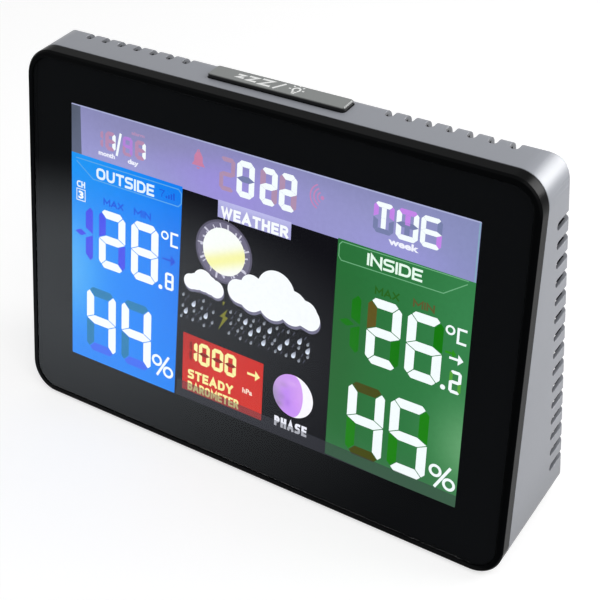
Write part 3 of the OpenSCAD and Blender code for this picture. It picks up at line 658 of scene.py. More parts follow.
def clear_panel(name):
    """Polished acrylic sheet: clear, with the sharp gloss of its front face alone, because the
    back face is wetted by the print and the display behind it."""
    m, tree = blank(name)
    clear = node(tree, "ShaderNodeBsdfTransparent", {"Color": (*linear("#fafcfd"), 1)})
    gloss = node(tree, "ShaderNodeBsdfGlossy", {"Roughness": 0.04})
    edge = node(tree, "ShaderNodeFresnel", {"IOR": 1.49})
    side = node(tree, "ShaderNodeNewGeometry")
    front = node(tree, "ShaderNodeMath", {"operation": "SUBTRACT", 0: 1},
                 {1: side.outputs["Backfacing"]})
    share = node(tree, "ShaderNodeMath", {"operation": "MULTIPLY"}, {0: edge, 1: front})
    both = node(tree, "ShaderNodeMixShader",
                links={MIX_SHARE: share, MIX_FIRST: clear, MIX_SECOND: gloss})
    node(tree, "ShaderNodeOutputMaterial", links={"Surface": both})
    m.surface_render_method = "BLENDED"
    return m


def smoked_film(name):
    """A grey veil of painted shade, under which nearly half of the light passes."""
    m, tree = blank(name)
    clear = node(tree, "ShaderNodeBsdfTransparent")
    film = node(tree, "ShaderNodeEmission", {"Color": (*linear("#3e3e46"), 1)})
    both = node(tree, "ShaderNodeMixShader", {MIX_SHARE: 0.55},
                {MIX_FIRST: clear, MIX_SECOND: film})
    node(tree, "ShaderNodeOutputMaterial", links={"Surface": both})
    m.surface_render_method = "BLENDED"
    return m


def finish(name, make, *settings, **more):
    """A material by name, made the first time it is asked for."""
    return bpy.data.materials.get(name) or make(name, *settings, **more)


# ---- the picture ----

# shapes on the front are given in mm: u across from the middle, v up the slope from the base

# colours of the segments that are not lit
GHOSTS = {
    "pink": "#c394b8", "rose": "#bb97b6", "violet": "#c18be2", "mauve": "#d08cf0",
    "slate": "#7f86b0", "indigo": "#4650f4", "teal": "#1f82b8", "cobalt": "#4271fa",
    "green": "#1f8612", "leaf": "#157c0d", "olive": "#4a4d12", "brown": "#66571f",
    "lime": "#5aaa3c", "ember": "#8e1a12",
}

# digits: character, left, base, width, height, stroke, unlit segments with their ghost colour
DATE_CELLS = [
    (" ", -70.4, 108.8, 3.2, 7.4, 1.3, {"bc": "pink"}),
    ("1", -66.2, 108.8, 4.8, 7.4, 1.6, {"adefg": "pink"}),
    (" ", -58.2, 108.8, 4.5, 7.4, 1.3, {"abcfg": "violet", "de": "pink"}),
    ("1", -52.6, 108.8, 4.9, 7.4, 1.6, {"adefg": "pink"}),
]
TIME_CELLS = [
    (" ", -15.8, 107.2, 6.5, 12.5, 1.7, {"abged": "rose"}),
    ("0", -8.6, 106.7, 7.3, 13.5, 2.3, {"g": "slate"}),
    ("2", 0.9, 106.7, 7.0, 13.5, 2.3, {"cf": "rose"}),
    ("2", 8.6, 106.7, 7.0, 13.5, 2.3, {"cf": "rose"}),
]
DAY_CELLS = [
    ("T", 44.6, 109.2, 7.5, 10.8, 1.8, {"bf": "mauve", "cde": "slate"}),
    ("U", 52.9, 109.2, 8.0, 10.8, 1.9, {"ah": "mauve", "gi": "slate"}),
    ("E", 61.6, 109.2, 7.5, 10.8, 1.8, {"c": "mauve", "b": "slate"}),
]
OUTSIDE_CELLS = [
    (" ", -75.6, 60.7, 3.8, 24.8, 3.8, {"bc": "indigo"}),
    (" ", -80.6, 69.0, 5.6, 7.2, 2.6, {"g": "indigo"}),
    ("2", -69.2, 61.2, 12.7, 23.8, 3.5, {"cf": "indigo"}),
    ("8", -54.0, 61.2, 12.7, 23.8, 3.5, {}),
    ("8", -38.2, 61.7, 3.9, 6.9, 1.0, {}),
    ("4", -75.0, 24.7, 14.3, 27.0, 3.8, {"ae": "teal", "d": "cobalt"}),
    ("4", -58.2, 24.7, 14.2, 27.0, 3.8, {"ae": "teal", "d": "cobalt"}),
]
INSIDE_CELLS = [
    (" ", 38.7, 61.8, 3.8, 24.6, 3.8, {"bc": "leaf"}),
    (" ", 34.3, 70.2, 6.0, 7.2, 2.6, {"g": "leaf"}),
    ("2", 44.8, 61.7, 12.8, 24.5, 3.6, {"f": "brown", "c": "leaf"}),
    ("6", 59.5, 61.7, 13.2, 24.5, 3.6, {"b": "leaf"}),
    ("2", 75.8, 61.7, 4.3, 8.2, 1.15, {"cf": "lime"}),
    ("4", 39.5, 25.0, 14.3, 28.2, 3.8, {"ad": "olive", "e": "green"}),
    ("5", 55.7, 25.0, 14.6, 28.2, 3.8, {"be": "green"}),
]
AIR_CELLS = [
    (" ", -28.0, 36.4, 2.6, 8.8, 1.2, {"bc": "ember"}),
    ("1", -25.1, 36.4, 2.1, 8.9, 1.6, {}),
    ("0", -22.4, 36.4, 4.9, 8.9, 1.55, {"g": "ember"}),
    ("0", -16.6, 36.4, 5.0, 8.9, 1.55, {"g": "ember"}),
    ("0", -11.0, 36.4, 5.0, 8.9, 1.55, {"g": "ember"}),
]


# the picture's words. In the built-in face: text, left, base, right, top, ink, layer, how much
# bolder; in drawn letters: text, left, base, right, top, stroke, ink, layer, gap in strokes
CREAM = "#fff0a0"
TYPED = [
    ("month", -69.3, 106.1, -61.7, 108.0, "#f6f4ff", SIGN, 0.045),
    ("day", -55.8, 105.6, -50.9, 108.0, "#f6f4ff", SIGN, 0.045),
    ("week", 50.6, 106.3, 61.6, 108.8, "#f8f6ff", SIGN, 0.04),
    ("alarm", -54.2, 117.6, -48.4, 118.9, GHOSTS["pink"], GHOST, 0.02),
    ("hPa", -3.0, 32.0, 1.2, 34.1, "#ffe0cc", SIGN, 0.035),
    ("3", -78.9, 86.2, -76.5, 89.3, "#ffffff", SIGN, 0.045),
]
LETTERED = [
    ("OUTSIDE", -70.3, 96.3, -43.7, 100.8, 0.95, "#eaf6ff", SIGN),
    ("INSIDE", 43.4, 96.7, 63.6, 101.0, 0.85, "#effff0", SIGN),
    ("WEATHER", -14.6, 96.9, 13.0, 101.2, 1.05, "#ffffff", SIGN),
    ("STEADY", -27.0, 29.3, -7.0, 33.1, 0.95, CREAM, SIGN),
    ("BAROMETER", -27.0, 24.4, -4.4, 28.1, 0.8, CREAM, SIGN, 0.3),
    ("PHASE", 10.9, 24.2, 24.3, 28.2, 1.0, "#f4f2fb", SIGN),
    ("CH", -79.7, 90.7, -75.7, 93.3, 0.6, "#e9f4ff", SIGN),
    ("MAX", -67.0, 86.8, -57.6, 89.5, 0.6, "#1458e4", GHOST),
    ("MIN", -52.8, 86.8, -45.0, 89.5, 0.6, "#1458e4", GHOST),
    ("MAX", 47.0, 87.4, 56.0, 90.2, 0.6, "#28641e", GHOST),
    ("MIN", 61.0, 87.4, 68.8, 90.2, 0.6, "#5e5a30", GHOST),
]


def wash(points, base, *spots):
    """Colours of a lit ground: a base colour, and towards each spot a part of the way to its
    colour that falls off with distance as a bell curve of the spot's two radii."""
    u, v = points[..., 0], points[..., 1]
    colour = np.broadcast_to(srgb(base), (*u.shape, 3))
    for su, sv, ru, rv, hex_value, strength in spots:
        share = strength * np.exp(-(((u - su) / ru) ** 2) - ((v - sv) / rv) ** 2)
        colour = colour + (srgb(hex_value) - colour) * share[..., None]
    return linear(colour)


def ground(shapes, corners, base, *spots, layer=FIELD, n=48):
    """A four-cornered ground: each point is the mean of the corners weighted by how far along
    and how far up it lies."""
    p = np.array(corners, float)
    a = np.linspace(0, 1, n)[None, :, None]
    b = np.linspace(0, 1, n)[:, None, None]
    points = (p[0] * (1 - a) + p[1] * a) * (1 - b) + (p[3] * (1 - a) + p[2] * a) * b
    shapes.grid(points, wash(points, base, *spots), layer)


def cells(lit, ghost, rows, ink):
    """A row of digits, each given as a row of the tables above."""
    for char, left, base, width, height, stroke, unlit in rows:
        hidden = {name: GHOSTS[tint] for names, tint in unlit.items() for name in names}
        gap = (WIDE_GAP if stroke > BROAD else FINE_GAP) * stroke
        for name, outline in segments(width, height, stroke, CHAMFER * stroke, gap).items():
            outline = outline + [left, base]
            if name in SEGMENTS[char]:
                lit.fill(outline, ink, LIT)
            elif name in hidden:
                ghost.fill(outline, hidden[name], GHOST)


def picture(name, shapes):
    """Tinted shapes of the lit picture."""
    film = finish("lit_tinted_film", lit_ink, low=0.94, high=1.06)
    return shapes.piece(name, picture_point, film)


def picture_lit(name, shapes):
    """Clear shapes of the lit picture, which show the lamps' full white."""
    film = finish("lit_clear_film", lit_ink, low=1.04, high=1.14)
    return shapes.piece(name, picture_point, film)


def make_grounds():
    """The coloured grounds that the backlight shows through the display's tinted areas."""
    p = Print()
    p.fill(box(-SIDE, LOWEST, SIDE, HIGHEST), "#0c0b11", GROUND)
    # the black middle
    ground(p, [(-32.5, 20), (34, 20), (34, 104), (-32.5, 104)], "#0d0c13",
           (0, 30, 40, 25, "#15131b", 1.0), layer=GROUND + 4 * STEP)
    # the lilac heading, its grey strip of painted shade on the left and the pale rims of its
    # film
    ground(p, [(-SIDE, 103.4), (SIDE, 102.2), (SIDE, HIGHEST), (-SIDE, HIGHEST)], "#a09dd2",
           (-14, 110, 26, 18, "#a797e6", 0.9), (0, 127, 200, 9, "#8a8ab6", 0.8),
           (-60, 104, 26, 5, "#aba9e2", 0.7), (62, 105, 22, 6, "#aaa2ea", 0.8),
           (-45, 119, 30, 6, "#938fb8", 0.6), (84, 114, 26, 30, "#8d93c0", 0.7),
           layer=FIELD + 2 * STEP)
    # painted shade: the grey strip along the heading's left edge
    ground(p, [(-SIDE, 103.7), (-77.4, 103.6), (-78, HIGHEST), (-SIDE, HIGHEST)], "#6a7088",
           (-82, 122, 6, 12, "#596070", 0.8), layer=FIELD + STEP, n=12)
    p.ribbon([(-SIDE, 122.85), (SIDE, 122.85)], 0.45, "#b3b6dc", FIELD - 3 * STEP)
    p.ribbon([(81.5, 102.4), (81.5, 122.8)], 0.5, "#8fb2c8", FIELD - 3 * STEP)
    # blue for the outside, green for the inside
    ground(p, [(-SIDE, 20), (-33, 20), (-31.3, 103.7), (-SIDE, 104)], "#108bff",
           (-84, 57, 16, 26, "#58b8ff", 0.95), (-80, 104, 26, 16, "#26a2ff", 0.8),
           (-60, 20, 40, 14, "#308fff", 0.7), (-31, 75, 12, 40, "#0a7af4", 0.7))
    ground(p, [(32, 21), (SIDE, 20), (SIDE, 102.4), (32.2, 103)], "#2f7a40",
           (32, 60, 14, 40, "#25692f", 0.9), (86, 44, 14, 18, "#76b07c", 0.95),
           (84, 88, 20, 30, "#3e8c54", 0.8), (60, 19, 40, 10, "#4b7b56", 0.8))
    # red for the air pressure, pale violet for the forecast's heading
    ground(p, [(-29.5, 23.9), (5.4, 23.7), (5.4, 46.4), (-29.5, 47.2)], "#d9291f",
           (-28, 46, 14, 10, "#c02119", 0.8), (3, 28, 12, 10, "#de3a2e", 0.7),
           (-12, 36, 9, 6, "#e8352a", 0.6))
    ground(p, [(-16, 96.7), (14, 96.7), (14, 103.2), (-16, 103.2)], "#b4b0e4",
           (0, 103, 30, 2, "#d6d2ff", 0.6), n=16)
    return picture("picture_grounds", p)


def make_frames():
    """Thin outlines round the headings, and the channel number's box."""
    p = Print()
    p.ribbon([(-79.8, 101), (-72, 95.6), (-33, 95.6), (-31.7, 97), (-31.7, 100.9),
              (-33, 102.2), (-80, 102.2)], 0.35, "#6ab4f2", FRAME)
    p.ribbon(rounded(box(-30, 95.7, 28.5, 102.2), 1.5), 0.3, "#2e2d34", GROUND + 2 * STEP,
             closed=True)
    p.ribbon([(79.2, 101), (71.2, 95.4), (33.8, 95.4), (32.8, 96.7), (32.8, 100.9),
              (33.8, 102.1), (79.5, 102.1)], 0.35, "#74b684", FRAME)
    p.ribbon(box(-79.7, 85.5, -75.7, 90.0), 0.4, "#e9f4ff", LIT, closed=True)
    return picture("picture_frames", p)


def make_digits():
    """Lit digits, and the unlit segments that show faintly beside them."""
    lit, ghost = Print(), Print()
    white = colours().white[:]
    for rows in (DATE_CELLS, TIME_CELLS, DAY_CELLS, OUTSIDE_CELLS, INSIDE_CELLS):
        cells(lit, ghost, rows, white)
    cells(lit, ghost, AIR_CELLS, "#fff3a6")
    picture("picture_ghosts", ghost)
    return picture_lit("picture_digits", lit)


def arrow(shapes, u, v, length, stroke, ink, layer):
    """A short arrow that points right: a bar, and a three-cornered head."""
    head = 0.38 * length
    shapes.ribbon([(u, v), (u + length - head, v)], stroke, ink, layer)
    shapes.fill([(u + length - head, v + head), (u + length - head, v - head), (u + length, v)],
                ink, layer)


def percent(shapes, u, v, ink):
    """A percent sign: two rings and a slanted bar."""
    shapes.ring(u + 2.4, v + 6.0, 1.35, 2.35, ink, SIGN)
    shapes.ring(u + 7.6, v + 2.6, 1.35, 2.35, ink, SIGN)
    shapes.ribbon([(u + 2.5, v - 0.1), (u + 7.8, v + 8.9)], 1.0, ink, SIGN)


def celsius(shapes, ring_u, ring_v, left, base, height, ink):
    """A degree ring and a squared letter C."""
    shapes.ring(ring_u, ring_v, 1.0, 1.7, ink, SIGN)
    w, t = 0.6 * height, 0.85
    shapes.ribbon([(left + w, base + height - t / 2), (left + t / 2, base + height - t / 2),
                   (left + t / 2, base + t / 2), (left + w, base + t / 2)], t, ink, SIGN)


def make_signs():
    """Units, decimal points, arrows, the alarm bell and the plain words of the picture."""
    p = Print()
    white = colours().white[:]
    for row in TYPED:
        p.word(*row)
    for row in LETTERED:
        p.letters(*row)
    # the slash of the date
    p.ribbon([(-60.9, 107.7), (-59.1, 116.7)], 1.0, white, SIGN)
    celsius(p, -38.6, 82.9, -36.1, 79.2, 5.7, white)
    celsius(p, 74.8, 83.6, 77.2, 79.6, 5.7, white)
    for left in (-43.6, 71.4):
        percent(p, left, 25.4, white)
    for u, v in ((-40.2, 61.9), (73.8, 62.7)):
        p.fill(disc(u, v, 0.9), white, SIGN)
    arrow(p, 75.2, 74.0, 5.0, 0.85, white, SIGN)
    arrow(p, -1.2, 40.5, 5.4, 0.95, CREAM, SIGN)
    arrow(p, -39.6, 73.6, 6.0, 0.7, "#1c50dc", GHOST)
    arrow(p, 73.6, 75.6, 4.0, 0.8, "#2d901a", GHOST)
    # signal bars and their aerial
    signal = "#185adc"
    for i, rise in enumerate((0.9, 1.5, 2.1, 2.7)):
        p.fill(box(-38.6 + i * 1.1, 97.4, -37.9 + i * 1.1, 97.4 + rise), signal, GHOST)
    p.ribbon([(-41.4, 100.0), (-39.2, 100.0), (-40.3, 98.4), (-40.3, 97.4)], 0.35, signal,
             GHOST)
    # the alarm's bell, with its knob and clapper
    bell = "#cd82a5"
    p.fill([(-27.6, 113.4), (-21.9, 113.4), (-22.9, 114.9), (-23.0, 117.0), (-24.0, 118.6),
            (-25.5, 118.6), (-26.5, 117.0), (-26.6, 114.9)], bell, GHOST)
    p.ring(-24.8, 118.9, 0.25, 0.6, bell, GHOST, n=16)
    p.ring(-24.8, 112.9, 0.0, 0.7, bell, GHOST, 180, 360, 12)
    # radio waves
    waves = "#c886b8"
    for r in (1.6, 3.0, 4.4):
        p.ring(25.4, 115.3, r, r + 0.5, waves, GHOST, 115, 245, 20)
    p.fill(disc(25.4, 115.3, 0.7), waves, GHOST)
    return picture_lit("picture_signs", p)


# raindrops, mm: heights of the large and the small ones, the least distance between the
# middle of a large one and its small neighbours, and where the large ones are
LARGE_DROP, SMALL_DROP, CLEARANCE = 3.3, 2.1, 2.2
LARGE_DROPS = [
    (-25, 60.2), (-2.6, 60.6), (3, 59.4), (7.6, 60.6), (-0.3, 56.9), (14.8, 58.6), (19.8, 60.6),
    (23.2, 58.0), (12, 55.6), (-19.6, 57.2), (-28.4, 56.4), (5.2, 55.0), (17.6, 54.6),
]
# spots of the moon's disc: place, radii across and up, colour, strength
MOON_SPOTS = [
    (9.5, 36, 3.4, 7, "#9a8fae", 0.9), (12, 42, 4, 4, "#d3a8e6", 0.6),
    (15, 38, 2.6, 5, "#be84f6", 0.6), (18, 33, 4, 3, "#c78cf8", 0.5),
    (21.5, 40, 2, 7, "#dfa6f4", 0.6), (13.5, 36.5, 1.5, 1.5, "#a884c4", 0.6),
    (16, 35, 1.2, 1.6, "#b07ae0", 0.6), (14, 41.5, 1.6, 1, "#b894cc", 0.6),
    (12, 33.5, 2, 1.2, "#9a84ac", 0.7), (17.5, 43, 2.4, 1, "#e0b0f4", 0.6),
    (19.5, 36, 1.2, 2.2, "#d596f6", 0.5),
]


def drop(u, v, size, turn=-24.0, n=28):
    """A raindrop: across, 0.34 of its size times the sine and the 1.5th power of the half
    angle's sine; up, half its size times the cosine; turned by some degrees, so that its tail
    points up and right."""
    t = np.linspace(0, 2 * np.pi, n, endpoint=False)
    x = 0.34 * size * np.sin(t) * np.abs(np.sin(t / 2)) ** 1.5
    y = 0.5 * size * np.cos(t)
    a = math.radians(turn)
    return np.stack([u + x * math.cos(a) - y * math.sin(a),
                     v + x * math.sin(a) + y * math.cos(a)], 1)


def shaded_drop(shapes, u, v, size, level=1.0):
    """A raindrop that is bright on its lower left and grey towards its tail, and as a whole
    dimmed to a level."""
    outline = drop(u, v, size)
    across, up = (outline - [u, v]).T / size
    low = np.clip(0.55 - 0.7 * across - up, 0, 1)[:, None]
    tone = srgb("#66697a") * (1 - low) + srgb("#edf2ff") * low
    shapes.fill(outline, linear(level * tone), LIT)


def add_sun(p):
    """A disc with a pale yellow band across it, and a corona of soft rays: their angles,
    lengths and widths swing about their means as sines of the ray's number."""
    su, sv, fu, fv = -13.0, 84.0, -12.9, 84.1
    face = polar(fu, fv, 8.9)
    band = (face[..., 1] - fv) - 0.42 * (face[..., 0] - fu)
    warm = np.exp(-((band + 3.2) / 3.4) ** 2)[..., None]
    p.grid(face, linear(srgb("#fffffa") * (1 - warm) + srgb("#fcf7a8") * warm), SIGN)
    p.ring(su, sv, 8.7, 12.0, "#716b82", LIT, n=120)
    p.ring(su, sv, 11.2, 12.0, "#5a5568", LIT - 2 * STEP, n=120)
    for k in range(30):
        t = math.radians(k * 12 + 5 * math.sin(k * 2.4))
        near, far = 8.6, 10.2 + 1.0 * math.sin(k * 1.9)
        p.ribbon([(su + near * math.cos(t), sv + near * math.sin(t)),
                  (su + far * math.cos(t + 0.04), sv + far * math.sin(t + 0.04))],
                 0.6 + 0.3 * math.sin(k * 3.1), "#cfcada", SIGN + 2 * STEP)


def add_clouds(p):
    """A small and a large cloud of joined discs, white over a grey-violet shadow."""
    small = envelope((-21, 69.4), [(-21.3, 70.3, 4.3), (-26.7, 68.4, 3.0), (-15.8, 68.7, 3.4),
                                   (-24.5, 69.0, 3.2), (-18.4, 69.4, 3.6)])
    large = envelope((8, 71), [(9.2, 76.0, 7.6), (-0.6, 74.4, 4.7), (-6.2, 71.0, 4.6),
                               (21.4, 71.6, 4.7), (22.8, 70.0, 4.4), (16.4, 72.6, 5.8),
                               (8, 70.6, 6.1), (-1, 70.1, 5.2), (16, 70.4, 5.3)])
    for cloud, drop_by in ((small, 0.9), (large, 1.1)):
        p.fill(cloud + [0.3, -drop_by], "#77748c", SIGN - 2 * STEP)
        p.fill(cloud, "#fdfdff", SIGN - 4 * STEP)


def add_rain(p):
    """A few large drops, and five rows of smaller drops and dark slanted streaks by turns
    between them, under each cloud. Each is moved a little at random, and left out where it
    would stand too close to a large drop."""
    rng = np.random.default_rng(5)
    for left, right in ((-30.0, -16.4), (-9.2, 23.8)):
        for row, v in enumerate(np.linspace(62.3, 53.4, 5)):
            for k, u in enumerate(np.arange(left + (row % 2) * 1.2, right, 2.4)):
                du, dv = rng.uniform(-0.45, 0.45, 2)
                near = min(math.hypot(u + du - x, v + dv - y) for x, y in LARGE_DROPS)
                if near < CLEARANCE:
                    continue
                if (k + row) % 2:
                    p.ribbon([(u + du - 0.4, v + dv - 0.7), (u + du + 0.4, v + dv + 0.7)], 0.36,
                             "#4c4c5c", LIT + 2 * STEP)
                else:
                    shaded_drop(p, u + du, v + dv, SMALL_DROP, 0.7)
    for u, v in LARGE_DROPS:
        shaded_drop(p, u, v, LARGE_DROP)


def add_lightning(p):
    """A stub right under the cloud, and the bolt below it."""
    stub = [(-12.7, 65.0), (-11.6, 65.0), (-12.6, 63.2)]
    bolt = [(-10.5, 62.5), (-13.8, 58.8), (-12.3, 58.6), (-14.3, 53.2), (-10.2, 59.2),
            (-11.6, 59.5)]
    for outline in (stub, bolt):
        p.fill(outline, "#7d7a1e", LIT)


def add_moon(p):
    """A mottled violet disc, and a lit crescent between its edge and half an ellipse, half as
    wide as the disc."""
    u, v, r = 18, 38.3, 8.2
    moon = polar(u, v, r)
    p.grid(moon, wash(moon, "#d29af2", *MOON_SPOTS), LIT)
    t = np.linspace(-np.pi / 2, np.pi / 2, 40)
    limb = np.stack([u + r * np.cos(t), v + r * np.sin(t)], 1)
    shadow_edge = np.stack([u + r / 2 * np.cos(t[::-1]), v + r * np.sin(t[::-1])], 1)
    p.fill(np.concatenate([limb, shadow_edge[1:-1]]), "#fffaff", LIT - 2 * STEP)


def make_weather():
    """The forecast's pictures and the moon's phase."""
    p = Print()
    for add in (add_sun, add_clouds, add_rain, add_lightning, add_moon):
        add(p)
    return picture_lit("picture_weather", p)


def make_painted_shade_strip():
    """A strip of painted shade across the lower edge of the middle and right grounds."""
    p = Print()
    # painted shade: a grey strip over the lower edge of the picture
    p.fill([(-32.5, LOWEST), (SIDE, LOWEST), (SIDE, 25.0), (8, 26.3), (-31.6, 27.4)],
           "#3e3e46", TOP)
    return p.piece("smoked_strip", picture_point, finish("smoked_film", smoked_film))


def make_panel_print():
    """The black print behind the clear panel: a rounded sheet, drawn in towards its top by the
    flare, whose hole is the window. Both outlines have the same number of points, and the
    faces run from one to the other."""
    s = sizes()
    low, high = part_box("front_panel")
    half = high.x / MM - PRINT_MARGIN
    base, top = ((z / MM - s.foot_h) / math.cos(s.lean) for z in (low.z, high.z))
    sheet_corner, window_corner = 5, 0.4
    sheet = card(-half, base + PRINT_MARGIN, half, top - PRINT_MARGIN, sheet_corner)
    sheet[:, 0] *= 1 - s.base_flare * sheet[:, 1] / s.face_h / half
    hole = card(-DRAWN_W / 2, DRAWN_BASE, DRAWN_W / 2, DRAWN_BASE + DRAWN_H, window_corner)
    hole = np.stack(widened(hole[:, 0], hole[:, 1]), 1)
    rows = np.stack([hole, sheet])
    p = Print()
    p.grid(np.concatenate([rows, rows[:, :1]], 1), colours().panel[:], PANEL_PRINT)
    return p.piece("panel_print", face_point, finish("screen_print_black", screen_print),
                   slot="panel_black")


# ---- prints on the case ----


def make_bar_print():
    """Pale letters on the snooze bar: a row of growing Zs, and a small lamp with its rays."""
    p = Print()
    ink, rise = "#fbfcfb", BAR_PRINT_RISE
    for left, width, height in ((-16.4, 3.1, 2.6), (-12.2, 3.9, 3.4), (-7.2, 4.7, 4.2)):
        p.letters("Z", left, -height / 2, left + width, height / 2, 0.95, ink, rise)
    p.ribbon([(-1.2, -2.1), (1.6, 2.1)], 0.9, ink, rise)
    # the lamp: its bulb, its cap in two lines, and its rays
    u, w = 6.6, 0.3
    p.ring(u, w, 0.9, 1.6, ink, rise, -55, 235, 28)
    p.ribbon([(5.6, -1.3), (7.6, -1.3)], 0.55, ink, rise)
    p.ribbon([(5.9, -2.05), (7.3, -2.05)], 0.5, ink, rise)
    for t in np.radians([0, 45, 90, 135, 180]):
        ray = np.array([math.cos(t), math.sin(t)])
        p.ribbon([ray * 2.1 + [u, w], ray * 2.9 + [u, w]], 0.6, ink, rise)
    return p.piece("snooze_bar_print", top_point, finish("pad_print", pad_print),
                   body="snooze_bar", slot="bar_grey")


def make_key_legends():
    """Plain legends over the six keys on the back."""
    p = Print()
    ink, rise = "#2b2c2e", KEY_PRINT_RISE
    pitch, row, half_height, stroke = 14.0, 118.6, 1.05, 0.42
    for k, text in enumerate(("MODE", "SET", "+", "-", "CH")):
        u = (k - 2.5) * pitch
        half = half_height * len(text)
        p.letters(text, u - half, row - half_height, u + half, row + half_height, stroke, ink,
                  rise)
    # the bell, of half an outline and its mirror image, and its clapper
    u = 2.5 * pitch
    half_bell = np.array([(1.3, -0.8), (0.9, -0.2), (0.8, 0.7), (0.35, 1.15)])
    p.fill(np.vstack([half_bell, half_bell[::-1] * [-1, 1]]) + [u, row], ink, rise)
    p.fill(disc(u, row - half_height, 0.32, 20), ink, rise)
    return p.piece("key_legends", back_point, finish("pad_print", pad_print), slot="case_grey")


# ---- smooth shells ----

# moulded pieces whose rounded edges are shaded smoothly
SMOOTHED = ["rear_housing", "front_frame", "snooze_bar", "battery_door", "power_jack",
            "rubber_feet", "mode_key", "set_key", "up_key", "down_key", "channel_key",
            "alarm_key"]
# pieces drawn a little narrower to leave room for their motion, mm a side
SLIMMED = {"battery_door": 0.16}
# corners closer than this are one, mm, and edges that turn more than this stay sharp
SAME_CORNER, SHARP = 0.002, math.radians(32)


def smooth_copy(name):
    """A moulded piece with its rounded edges shaded smoothly. The copy's loose triangles are
    merged, its width is scaled down where it is slimmed, edges sharper than a moulded round
    stay sharp, and each corner's normal is the mean of its faces' weighted by area."""
    source = frame["nodes"][name]
    shape = bmesh.new()
    shape.from_mesh(source.data)
    bmesh.ops.remove_doubles(shape, verts=shape.verts, dist=SAME_CORNER * MM)
    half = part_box(name)[1].x / MM
    bmesh.ops.scale(shape, vec=(1 - SLIMMED.get(name, 0) / half, 1, 1), verts=shape.verts)
    for edge in shape.edges:
        edge.smooth = edge.is_manifold and edge.calc_face_angle(0) < SHARP
    for face in shape.faces:
        face.smooth = True
    mesh = bpy.data.meshes.new(name + "_shell")
    shape.to_mesh(mesh)
    shape.free()
    mesh.materials.clear()
    mesh.materials.append(source.data.materials[0])
    obj = placed(mesh, name + "_shell", body_of(source)[0])
    weighted = obj.modifiers.new("Weighted normals", "WEIGHTED_NORMAL")
    weighted.keep_sharp = True
    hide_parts(name)
    return obj


# ---- finishes ----

